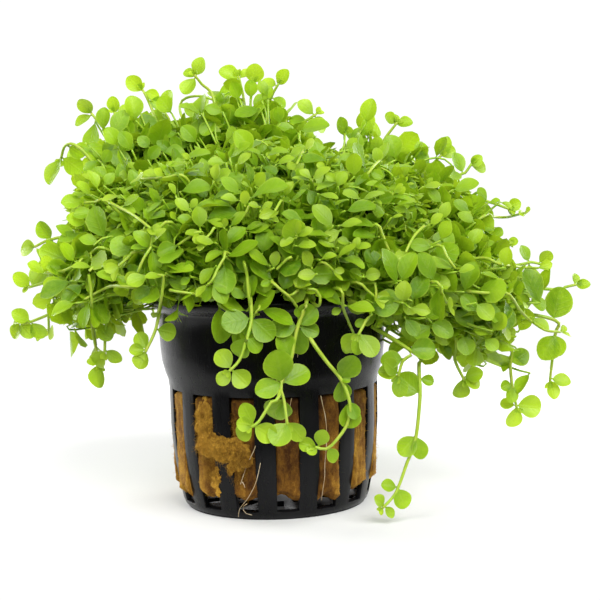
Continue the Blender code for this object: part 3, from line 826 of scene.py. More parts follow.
def wool_finish(name, brighter=0.0):
    nodes = Nodes(bpy.data.materials.new(name))
    patches = nodes.noise(0.16, detail=3, roughness=0.6)
    fibres = nodes.noise(1.5, detail=5, roughness=0.75, stretch=(1, 1, 0.35))
    grain = nodes.noise(5.0, detail=3, roughness=0.7)
    clumps = nodes.noise(0.55, detail=2, stretch=(1, 1, 0.5))
    # Painted shade under the collar: the plug is darker high up and paler towards its foot.
    painted_collar_shade = nodes.math("SUBTRACT", 0.5, nodes.math("DIVIDE", nodes.axis("Z"), SLOT_HIGH * MM))
    # Painted side light: the plug is paler towards its sides and darker in the middle of its front.
    beside = nodes.math("DIVIDE", nodes.math("SUBTRACT", nodes.axis("X"), LEAST_SIDE_LIGHT_X * MM),
                        WOOL_RADIUS_HIGH * MM)
    beside = nodes.math("SUBTRACT", nodes.math("ABSOLUTE", beside), SIDES_FROM)
    height = nodes.total((patches, 0.4), (fibres, 0.35), (clumps, 0.25),
                         (painted_collar_shade, COLLAR_SHADE_SHARE), (beside, SIDE_LIGHT_SHARE))
    colour = nodes.ramp(height, *[(position - brighter, stop) for position, stop in WOOL_STOPS])
    # Painted shade: where the grain's bump is lowest, the felt is darkened towards WOOL_DEEP.
    colour = nodes.mix(nodes.ramp(grain, (0.35, 0.45), (0.6, 0.0)), colour, WOOL_DEEP)
    nodes.look({"Base Color": colour, "Roughness": WOOL_ROUGH, "Specular IOR Level": WOOL_SPECULAR})
    nodes.bump(nodes.total((fibres, 1), (grain, 1)), WOOL_DEPTH, WOOL_RELIEF)
    return nodes.owner


def root_finish():
    nodes = Nodes(bpy.data.materials.new("pale_root"))
    nodes.look({"Base Color": nodes.ramp(nodes.noise(0.5), *ROOT_STOPS), "Roughness": ROOT_ROUGH})
    return nodes.owner


wool = make_wool(wool_finish("mineral_wool_felt"),
                 wool_finish("torn_mineral_wool", brighter=TORN_IS_BRIGHTER))
nap = make_nap(wool, wool_finish("mineral_wool_hair", brighter=HAIR_IS_BRIGHTER))
roots = make_roots(root_finish())
print("wool:", triangles(wool), "nap:", triangles(nap), "roots:", triangles(roots), "triangles")

# %% [markdown]
# ## One leaf
# A Monte Carlo leaf is a round or slightly pointed blade of two to seven millimetres on a
# short stalk. It is a sheet, so a small grid of quads is enough: the outline comes from one
# sine curve, and a few numbers bend it. Cup lifts the edges, fold makes the groove of the
# midrib, arch lets the tip hang or rise, and twist and ripple keep the blade from being
# perfect. Every leaf draws its own numbers.

# %% Leaf blade
LEAF_STALK, FULL_STALK_FROM = 0.5, 4
STALK_HALF = 0.19
SMALLEST_HALF = 0.05
ROUND_WIDER = 0.06
BASE_POWER, TIP_POWER, TIP_POWER_FROM = 0.66, 0.47, 0.55
RIPPLE_RATE = 9
# Rows along the blade and columns across it.
GRIDS = {"bud": (4, 2), "hidden": (5, 2), "plain": (6, 4), "fine": (12, 8)}


def draw_leaf_form(chance, round_share=0.0):
    """The numbers that make one leaf different from the next."""
    form = {
        "width": chance.uniform(0.70, 0.96),
        "broad_at": chance.uniform(0.95, 1.3),
        "point": chance.uniform(0.0, 0.32),
        "cup": chance.uniform(0.0, 0.34),
        "fold": chance.uniform(0.02, 0.26),
        "arch": chance.uniform(-0.14, 0.32),
        "twist": chance.gauss(0, 0.12),
        "ripple": chance.uniform(0.004, 0.022),
        "phase": chance.uniform(0, 6.3),
    }
    form["point"] *= 1 - round_share
    form["width"] += ROUND_WIDER * round_share
    return form


def grid_quads(rows, columns):
    number = np.arange(rows * columns).reshape(rows, columns)
    return np.stack([number[:-1, :-1], number[:-1, 1:], number[1:, 1:], number[1:, :-1]], 2).reshape(-1, 4)


def half_width(rows, form):
    """Half the blade's width along it: broad at the base, round or bluntly pointed at the tip."""
    tip_power = TIP_POWER + form["point"]
    power = BASE_POWER + (tip_power - BASE_POWER) * np.clip(rows / TIP_POWER_FROM, 0, 1)
    return 0.5 * form["width"] * np.sin(math.pi * rows ** form["broad_at"]) ** power


def add_leaf(sheaf, place, way, face, length, form, age, tone, grid="plain"):
    """A leaf from place on the stem along way, its upper side towards face."""
    count, columns = GRIDS[grid]
    rows = 0.5 - 0.5 * np.cos(np.linspace(0, math.pi, count))
    across = np.linspace(-1, 1, columns + 1)[None, :]
    way = np.array(way) / np.linalg.norm(way)
    side = np.cross(face, way)
    side /= np.linalg.norm(side) + TINY
    face = np.cross(way, side)
    stalk = LEAF_STALK * min(length / FULL_STALK_FROM, 1)
    half = np.maximum(length * half_width(rows, form), SMALLEST_HALF)
    half[0] = STALK_HALF
    along = np.concatenate([[-stalk], rows * length])[:, None]
    half = np.concatenate([[STALK_HALF], half])[:, None]
    share = np.clip(along / length, 0, 1)
    sway = half * across
    lift = form["cup"] * sway ** 2 / (0.5 * length) + form["fold"] * np.abs(sway)
    lift = lift - form["arch"] * length * share ** 2 + form["twist"] * share * sway
    ripple = np.sin(share * RIPPLE_RATE + form["phase"] + across)
    lift = lift + form["ripple"] * length * ripple * across ** 2
    corners = np.array(place) + (along + stalk)[..., None] * way
    corners = corners + sway[..., None] * side + lift[..., None] * face
    blade = np.stack(np.broadcast_arrays(share, across / 2 + 0.5), 2)
    quads = grid_quads(count + 1, columns + 1)
    sheaf.add(corners.reshape(-1, 3), quads, 0, blade.reshape(-1, 2), age, tone)


# %% [markdown]
# ## Leaf and stem finishes
# Leaves this thin glow when light comes through them, so the leaf mixes a glossy surface with
# a translucent one. Young leaves are lime and old ones are a deeper green. The blade's own
# coordinates draw a pale midrib with faint side veins, and noise gives the matt, slightly
# mottled skin and its tiny relief.

# %% Leaf and stem finishes
LEAF_YOUNG = (0.46, 0.66, 0.03)
LEAF_GROWN = (0.26, 0.49, 0.005)
LEAF_OLD = (0.080, 0.215, 0.002)
LEAF_GLOW, GLOW_MIX = (0.53, 0.69, 0.018), 0.55
LEAF_GLOW_SHARE = 0.36
LEAF_RIB = (0.46, 0.62, 0.10)
LEAF_MARGIN = (0.52, 0.68, 0.06)
LEAF_SPECULAR = 0.5
LEAF_DEPTH, LEAF_RELIEF = 0.09, 0.8
TONE_SHARE, MOTTLE_SHARE, VEIN_SHARE, RIB_SHARE = 0.35, 0.3, 0.06, 0.1
VEIN_COUNT, VEIN_SLANT = 5.5, 0.6
STEM_YOUNG = (0.33, 0.50, 0.025)
STEM_OLD = (0.46, 0.53, 0.06)
STEM_TONE_SHARE = 0.8
STEM_INSIDE = {
    "Subsurface Weight": 0.25,
    "Subsurface Radius": (0.5, 1.0, 0.2),
    "Subsurface Scale": 0.4 * MM,
}
STEM_DEPTH, STEM_RELIEF = 0.05, 0.6


def leaf_finish(name):
    nodes = Nodes(bpy.data.materials.new(name))
    blade = nodes.add("SeparateXYZ", nodes.add("UVMap", uv_map="blade").outputs["UV"])
    along, across = blade.outputs["X"], blade.outputs["Y"]
    from_rib = nodes.math("ABSOLUTE", nodes.math("SUBTRACT", across, 0.5))
    slant = nodes.math("SUBTRACT", along, nodes.math("MULTIPLY", from_rib, VEIN_SLANT))
    waves = nodes.math("SINE", nodes.math("MULTIPLY", slant, VEIN_COUNT * 2 * math.pi))
    veins = nodes.ramp(waves, (0.75, 0.0), (1.0, 1.0))
    rib = nodes.ramp(from_rib, (0.0, 1.0), (0.075, 0.0))
    mottle = nodes.ramp(nodes.noise(0.9, detail=3, roughness=0.6), (0.4, 0.0), (0.7, 1.0))
    fine = nodes.noise(9.0)
    age, tone = nodes.attribute("leaf_age"), nodes.attribute("leaf_tone")
    colour = nodes.ramp(age, (0.05, LEAF_YOUNG), (0.45, LEAF_GROWN), (1.0, LEAF_OLD))
    for share, tint in [
        (nodes.math("MULTIPLY", tone, TONE_SHARE), LEAF_OLD),
        (nodes.math("MULTIPLY", mottle, MOTTLE_SHARE), LEAF_YOUNG),
        # Painted shade: each blade is darker towards its base by the stem.
        (nodes.ramp(along, (0.1, 0.4), (0.75, 0.0)), LEAF_OLD),
        (nodes.math("MULTIPLY", veins, VEIN_SHARE), LEAF_RIB),
        (nodes.math("MULTIPLY", rib, RIB_SHARE), LEAF_RIB),
        # A paler margin: partly the blade's own pale rim, partly painted rim light along the edge.
        (nodes.ramp(from_rib, (0.42, 0.0), (0.5, 0.5)), LEAF_MARGIN),
    ]:
        colour = nodes.mix(share, colour, tint)
    nodes.look({
        "Base Color": colour,
        "Roughness": nodes.ramp(fine, (0.3, 0.33), (0.7, 0.48)),
        "Specular IOR Level": LEAF_SPECULAR,
    })
    relief = nodes.total((rib, -0.6), (veins, -0.35), (fine, 0.35))
    normal = nodes.bump(relief, LEAF_DEPTH, LEAF_RELIEF)
    glow = nodes.add("BsdfTranslucent", nodes.mix(GLOW_MIX, colour, LEAF_GLOW), normal)
    both = nodes.add("MixShader", LEAF_GLOW_SHARE, nodes.shader.outputs[0], glow.outputs[0])
    nodes.feed(nodes.surface, both.outputs[0])
    return nodes.owner


def stem_finish(name):
    nodes = Nodes(bpy.data.materials.new(name))
    streaks = nodes.noise(1.1, detail=4, roughness=0.6, stretch=(1, 1, 0.3))
    colour = nodes.mix(nodes.ramp(streaks, (0.35, 0.0), (0.65, 1.0)), STEM_YOUNG, STEM_OLD)
    tone = nodes.math("MULTIPLY", nodes.attribute("leaf_tone"), STEM_TONE_SHARE)
    nodes.look({
        "Base Color": nodes.mix(tone, colour, LEAF_GROWN),
        "Roughness": nodes.ramp(streaks, (0.3, 0.38), (0.7, 0.55)),
        **STEM_INSIDE,
    })
    nodes.bump(nodes.noise(4.0), STEM_DEPTH, STEM_RELIEF)
    return nodes.owner


greens = leaf_finish("fresh_leaf"), stem_finish("pale_stem")
print("leaf grids:", GRIDS)

# %% [markdown]
# ## Free shoots
# Forty shoots reach out of the mass and make its ragged outline. Their stems follow the
# construction model's points, and their leaves grow from the same joints at the same bearings,
# so each shoot lies over its own solid. Two tiny leaves close the bud at every tip.

# %% Shoot table
# Each shoot: its stem's points, then its leaves as (point on the stem, bearing, length).
SHOOTS = {
    "front_shoot_1": (
        [(-21.5, -21, 51), (-22, -22, 47), (-22.5, -23, 44.5), (-23.5, -24, 40.5),
         (-25.5, -25, 36.5)],
        [(4, 120, 3.4), (4, -180, 2.8), (4, -110, 3.4), (3, -15, 3.6)],
    ),
    "front_shoot_2": (
        [(-4.5, -30, 51), (-4, -31, 47), (-4, -31.5, 43), (-5, -32.5, 39.5), (-6.5, -33, 35.5),
         (-8.5, -34, 33.5)],
        [(2, -170, 5.4), (2, -85, 4), (2, -45, 5.2), (3, -120, 4), (3, -50, 3.2), (5, 125, 4.2),
         (5, -130, 3.2), (5, -45, 3.8)],
    ),
    "front_shoot_3": (
        [(7, -29, 46.5), (5, -30, 41), (3.5, -30.5, 34.5), (1.5, -31.5, 30), (2, -32, 27),
         (2.5, -33, 22.5)],
        [(1, 180, 4.8), (1, 45, 4.4), (1, -20, 3.6), (2, 110, 5), (1, -90, 5.2), (3, 100, 6.4),
         (3, 25, 5.4), (3, -160, 5.2), (4, -90, 4.4), (5, -120, 4.8), (5, -50, 4.4),
         (4, -125, 4.8)],
    ),
    "front_shoot_3_branch": (
        [(1, -33, 28), (-0.5, -33.5, 27), (-3, -34.5, 23.5), (-4.5, -35, 22.5)],
        [(3, 115, 4.2), (3, -35, 4.4), (3, 170, 3), (3, -145, 3.6)],
    ),
    "front_shoot_4": (
        [(7.5, -30, 39), (10.5, -30.5, 34.5), (13.5, -30.5, 30.5), (15, -31, 26), (14.5, -31, 22),
         (12, -31.5, 18.5), (10, -31.5, 17), (8, -32, 17.5)],
        [(2, 55, 5), (2, -80, 4.6), (2, -20, 1.6), (3, -85, 5), (3, -70, 3.2), (6, -60, 3),
         (7, 70, 3.4), (7, 165, 3.2), (7, -155, 2)],
    ),
    "front_shoot_5": (
        [(19.5, -29, 44), (18.5, -30, 42), (17, -31, 39.5)],
        [(2, -60, 4.8), (2, -130, 4), (2, -100, 3.6), (0, 10, 5.2), (1, -150, 2)],
    ),
    "front_shoot_6": (
        [(29.5, -24, 34), (29.5, -24, 32.5), (29.5, -24.5, 29), (29.5, -25, 26),
         (28.5, -25, 17.5), (26.5, -25, 12), (24.5, -25.5, 7), (23, -26, 5), (21.5, -26, 3.5)],
        [(3, 145, 5.2), (4, -130, 4.4), (4, -80, 4.2), (6, 170, 3), (6, -75, 3.8), (8, 140, 2.6),
         (8, -55, 2.4), (2, -20, 2.4)],
    ),
    "front_shoot_7": (
        [(27.5, -27, 35.5), (26, -27, 33.5), (25, -27, 30.5)],
        [(2, 145, 3.8), (1, 180, 4), (2, 170, 3.4), (2, -90, 4), (0, 0, 4.8)],
    ),
    "right_shoot_1": (
        [(37.5, -14, 37), (38, -13, 31.5), (40, -12, 27)],
        [(2, 15, 3.6), (2, -95, 4), (2, -35, 3.2)],
    ),
    "right_shoot_2": (
        [(50.5, -4, 33), (51, -3.5, 28.5), (51.5, -2.5, 24), (52.5, -2, 19)],
        [(2, -160, 2.4), (3, 170, 2.8), (2, -100, 3.6), (3, -5, 4.8), (3, -100, 4.2), (1, 30, 3.8)],
    ),
    "right_shoot_3": (
        [(61.5, 0, 37.5), (61.5, 1, 34), (60.5, 2, 24)],
        [(1, -125, 5.4), (1, -70, 4.4), (2, -10, 3.8), (2, -85, 3.8), (0, 75, 6.6)],
    ),
    "left_shoot_1": (
        [(-37.5, -8, 51.5), (-38, -8.5, 45), (-37.5, -9.5, 39), (-36.5, -10, 32)],
        [(3, -90, 4.6), (3, 145, 2), (3, 175, 2)],
    ),
    "left_shoot_2": (
        [(-33, -12, 46), (-34.5, -12, 40.5), (-35, -12, 35)],
        [(2, -35, 3.4), (2, -130, 3.8)],
    ),
    "left_shoot_3": (
        [(-36, -6, 47.5), (-44.5, -4, 43.5), (-52, -2, 40.5), (-54.5, 0, 40.5)],
        [(2, 145, 3.8), (2, -60, 4), (3, -45, 3.8), (3, -120, 3.4)],
    ),
    "left_shoot_4": (
        [(-45, 0, 49.5), (-49, 2, 48.5), (-52.5, 4, 47.5)],
        [(2, 135, 4), (2, 60, 5.2)],
    ),
    "left_shoot_5": (
        [(-40.5, 8, 77), (-44, 10, 78), (-45.5, 12, 75)],
        [(2, -105, 6), (2, -40, 4.8), (1, -35, 3.6)],
    ),
    "left_shoot_6": (
        [(-43.5, 6, 57.5), (-48, 7, 57.5), (-51.5, 8, 56)],
        [(1, 120, 4), (2, -175, 3.8), (1, -75, 4)],
    ),
    "top_shoot_1": (
        [(-35.5, 20, 80), (-37.5, 21, 82.5), (-39.5, 22, 85)],
        [(2, 120, 3.8), (2, -160, 4)],
    ),
    "top_shoot_2": (
        [(-32, 24, 82), (-33.5, 24, 84), (-34.5, 24, 85)],
        [(2, 90, 3.4), (2, 25, 3.6)],
    ),
    "top_shoot_3": (
        [(-26, 26, 85.5), (-27, 26, 88), (-28, 26, 90)],
        [(2, 135, 4.2), (2, -20, 3.4), (1, -15, 3.2)],
    ),
    "top_shoot_4": (
        [(-21.5, 28, 80.5), (-22.5, 28, 83.5), (-23.5, 28, 85)],
        [(2, 65, 4.8), (1, 160, 4.2)],
    ),
    "top_shoot_5": (
        [(-12, 28, 88), (-14.5, 27, 91), (-16, 26, 93)],
        [(2, 65, 3.8), (2, 150, 2.8), (2, -120, 4.2)],
    ),
    "top_shoot_6": (
        [(-5, 30, 87), (-5.5, 30, 90), (-6, 30, 92.5)],
        [(2, 155, 4.2), (1, 180, 4.6), (2, 45, 2.4)],
    ),
    "top_shoot_7": (
        [(-3.5, 30, 86), (-3, 29, 89), (-2.5, 28, 91)],
        [(2, 80, 4.2), (2, -15, 3.6)],
    ),
    "top_shoot_8": (
        [(0.5, 28, 84.5), (1.5, 27, 88), (3, 26, 90.5)],
        [(2, 50, 3.8), (2, 150, 3.2), (1, -25, 3.2), (1, -155, 3.6)],
    ),
    "top_shoot_9": (
        [(8, 28, 80.5), (10, 28, 82.5), (11.5, 28, 83.5)],
        [(2, 140, 4), (2, -45, 4), (1, 180, 3.6)],
    ),
    "top_shoot_10": (
        [(19, 26, 74), (20.5, 26, 77.5), (22, 26, 79.5)],
        [(2, 75, 4.6), (2, 15, 4.4)],
    ),
    "top_shoot_11": (
        [(25, 22, 72.5), (26.5, 21, 77), (29.5, 20, 81)],
        [(2, 5, 3.2), (2, 75, 2.2), (2, 140, 2.8)],
    ),
    "top_shoot_12": (
        [(35.5, 18, 70), (37, 17, 71.5), (39, 16, 73.5)],
        [(2, 70, 4), (2, 25, 3.4), (1, 125, 4.4)],
    ),
    "top_shoot_13": (
        [(42, 14, 68.5), (44, 14, 69.5), (45.5, 14, 71.5)],
        [(2, 40, 2.6), (2, 0, 3.6), (1, 105, 4.4)],
    ),
    "right_shoot_4": (
        [(45, 12, 63.5), (49, 11, 63), (53, 10, 61.5)],
        [(2, 20, 2.8), (2, -20, 2.2), (1, -90, 4.4), (1, 135, 3.2)],
    ),
    "right_shoot_5": (
        [(46.5, 8, 55), (49.5, 8, 55), (52.5, 8, 54)],
        [(2, 0, 2.2), (1, 45, 2.6)],
    ),
    "right_shoot_6": (
        [(54.5, 4, 49.5), (57, 4, 50), (59, 4, 49.5)],
        [(2, 50, 3.2), (1, 110, 3.4), (1, -85, 5.6)],
    ),
    "right_shoot_7": (
        [(62, 2, 44), (64, 2, 44.5), (66.5, 2, 45)],
        [(2, 0, 2.8), (2, 65, 2.2), (1, -115, 4.4)],
    ),
}

# %% Shoots
HEART = Vector((0, 2, 52))
STEM_RADIUS, TIP_RADIUS, STEM_STEP = 0.48, 0.3, 0.9
ROOT_IN_MASS = 11.0
DIVE = Vector((0, 0.35, -0.6))
DIVE_FROM, DIVE_OVER, DIVE_BACK_UNTIL = 45, 15, 20
STALK_IN_MODEL = 0.3
LEAF_NOD_DEG, LEAF_NOD_TURN = 22, 2.4
FACE_OUT, FACE_UP = 0.5, 0.25
FACE_JITTER, FACE_RAISED = 0.12, 0.2
AGE_AT_TIP, AGE_TO_ROOT, AGE_SPREAD = 0.15, 0.45, 0.2
ROUND_SHARE = 0.75
MOST_TONE, MOST_STEM_TONE = 0.6, 0.4
BUD_OPEN, BUD_LIFT, BUD_FOLD, BUD_SIZES = (0.3, 0.7), (0.1, 0.4), 0.7, (0.8, 1.2)
BUD_FACE = Vector((0, -1, 0.3))
BACK_SHOOTS = 6
BACK_FROM_DEG, BACK_TO_DEG = 112, 250
BACK_REACH_X, BACK_REACH_Y, BACK_MORE_REACH = 50, 48, 3
BACK_TOPS, BACK_DROPS = (50, 58), (12, 22)
# Each joint of a back shoot's stem: how far inside its reach, and its share of the drop.
BACK_STEM = [(6, 0), (-3, 0.4), (-4, 1)]
BACK_SEED = 11
BACK_LEAVES = [(1, 20, 4.6), (1, 170, 4.4), (2, -30, 3.8), (2, -150, 3.8)]


def into_mass(place, length):
    """Where a stem that leaves the mass at this place comes from; high stems dive steeply."""
    high = clamp((place.z - DIVE_FROM) / DIVE_OVER)
    dive = Vector((0, DIVE.y if place.y < DIVE_BACK_UNTIL else 0, DIVE.z))
    return place + ((HEART - place).normalized() + dive * high).normalized() * length


def leaf_on_shoot(sheaf, chance, points, leaf, index, view, tip):
    knot, bearing, length = leaf
    place = points[knot]
    inward = (points[knot - 1] if knot else HEART) - place
    place = place + inward.normalized() * STEM_RADIUS
    outward = Vector((place.x, place.y, 0)).normalized() * FACE_OUT
    outward = (outward + view @ Vector((0, -1, FACE_UP))).normalized()
    lean = math.radians(LEAF_NOD_DEG * math.sin(LEAF_NOD_TURN * index + knot))
    turn = math.radians(bearing)
    flat = view @ Vector((math.cos(turn), 0, math.sin(turn)))
    way = flat * math.cos(lean) + outward * math.sin(lean)
    face = outward + jitter(chance, FACE_JITTER) + UP * FACE_RAISED
    age = AGE_AT_TIP + AGE_TO_ROOT * (1 - knot / tip) + chance.uniform(0, AGE_SPREAD)
    form = draw_leaf_form(chance, ROUND_SHARE)
    tone = chance.random() * MOST_TONE
    add_leaf(sheaf, place, way, face, length + STALK_IN_MODEL, form, age, tone, grid="fine")


def add_bud(sheaf, chance, tip, way, face, size=1.5, grid="plain"):
    """Two half-open leaves at the end of a stem."""
    side = way.cross(face).normalized()
    for turn in (-1, 1):
        spread = way + side * turn * chance.uniform(*BUD_OPEN) + face * chance.uniform(*BUD_LIFT)
        add_leaf(sheaf, tip, spread, face - side * turn * BUD_FOLD, size * chance.uniform(*BUD_SIZES),
                 draw_leaf_form(chance), 0.0, 0.0, grid=grid)


def make_shoot(name, stem, leaves, seen_from_deg=0):
    chance = random.Random(name)
    view = around(seen_from_deg).to_3x3()
    points = [Vector(point) for point in stem]
    start = into_mass(points[0], ROOT_IN_MASS)
    path = along_curve([start] + points, STEM_STEP)
    sheaf = Sheaf()
    tone = chance.random() * MOST_STEM_TONE
    sheaf.tube(path, STEM_RADIUS, TIP_RADIUS, sides=7, finish=1, tone=tone)
    for index, leaf in enumerate(leaves):
        leaf_on_shoot(sheaf, chance, points, leaf, index, view, len(points) - 1)
    add_bud(sheaf, chance, points[-1], (points[-1] - points[-2]).normalized(), view @ BUD_FACE)
    return sheaf.piece(name + "_leaves", "shoots", name, *greens)


def back_shoots():
    """The far side's shoots hang in a fan, as the construction model has them."""
    chance = random.Random(BACK_SEED)
    for index in range(BACK_SHOOTS):
        angle = BACK_FROM_DEG + index / (BACK_SHOOTS - 1) * (BACK_TO_DEG - BACK_FROM_DEG)
        across, along = math.sin(math.radians(angle)), math.cos(math.radians(angle))
        reach = 1 / math.hypot(across / BACK_REACH_X, along / BACK_REACH_Y)
        reach += chance.uniform(0, BACK_MORE_REACH)
        top = chance.uniform(*BACK_TOPS)
        drop = chance.uniform(*BACK_DROPS)
        stem = [around(angle) @ Vector((0, inside - reach, top - drop * share))
                for inside, share in BACK_STEM]
        yield f"back_shoot_{index + 1}", stem, BACK_LEAVES, angle


shoots = [make_shoot(name, stem, leaves) for name, (stem, leaves) in SHOOTS.items()]
shoots += [make_shoot(*shoot) for shoot in back_shoots()]
print("shoots:", len(shoots), "with", sum(triangles(shoot) for shoot in shoots), "triangles")

# %% [markdown]
# ## The leafy mass
# Under the free shoots lies a dense cushion of creeping stems. Each stem is grown backwards:
# a tip is placed on the skin of the cushion's solid, and the stem runs back under the skin
# while its pairs of leaves grow larger and older. A second, sparser layer starts deeper and
# is darker, and a rough core, its dark green painted shade, fills the depth that no light reaches.

# %% Cushion skin
POT_CLEAR_RADIUS, POT_CLEAR_HEIGHT = 27.8, 47.2
SAME_CORNER = 1e-6
SMOOTHINGS = 2
UNDERSIDE, HIDDEN_SHARE = -0.5, 0.3
TRIES_FOR_EACH = 30


def in_pot(place, margin=0.0):
    return place.z < POT_CLEAR_HEIGHT and math.hypot(place.x, place.y) < POT_CLEAR_RADIUS + margin


def cushion_skin():
    """The cushion solid as triangles with their corners joined."""
    bm = bmesh.new()
    bm.from_mesh(solids["leaf_cushion"].data)
    bmesh.ops.remove_doubles(bm, verts=bm.verts, dist=SAME_CORNER)
    bmesh.ops.recalc_face_normals(bm, faces=bm.faces)
    bmesh.ops.triangulate(bm, faces=bm.faces)
    bm.normal_update()
    return bm


def smooth_normals(bm):
    """Vertex normals, averaged twice with their neighbours."""
    normals = {vertex: vertex.normal.copy() for vertex in bm.verts}
    for _ in range(SMOOTHINGS):
        normals = {
            vertex: sum((normals[edge.other_vert(vertex)] for edge in vertex.link_edges),
                        normals[vertex] * 2).normalized()
            for vertex in bm.verts
        }
    return normals


def cells_around(cell):
    steps = (-1, 0, 1)
    return [(cell[0] + a, cell[1] + b, cell[2] + c) for a in steps for b in steps for c in steps]


def scatter_tips(bm, normals, chance, count, spacing):
    """Places on the skin with their normals, in millimetres, none nearer than spacing."""
    faces = [face for face in bm.faces if not in_pot(face.calc_center_median() / MM)]
    weight = [HIDDEN_SHARE if face.normal.z < UNDERSIDE else 1 for face in faces]
    reach = np.cumsum([face.calc_area() * share for face, share in zip(faces, weight)])
    grid, kept = {}, []
    for _ in range(count * TRIES_FOR_EACH):
        if len(kept) == count:
            break
        face = faces[int(np.searchsorted(reach, chance.random() * reach[-1]))]
        first, second = sorted((chance.random(), chance.random()))
        shares = (first, second - first, 1 - second)
        place = sum((vertex.co * share for vertex, share in zip(face.verts, shares)), Vector()) / MM
        normal = sum((normals[vertex] * share for vertex, share in zip(face.verts, shares)), Vector())
        cell = tuple(int(value // spacing) for value in place)
        near = [other for key in cells_around(cell) for other in grid.get(key, [])]
        if all((place - other).length > spacing for other in near):
            grid.setdefault(cell, []).append(place)
            kept.append((place, normal.normalized()))
    return kept


skin = cushion_skin()
skin_normals = smooth_normals(skin)
skin_area = sum(face.calc_area() for face in skin.faces) / MM ** 2
print("cushion skin:", len(skin.faces), "faces,", round(skin_area), "mm2")
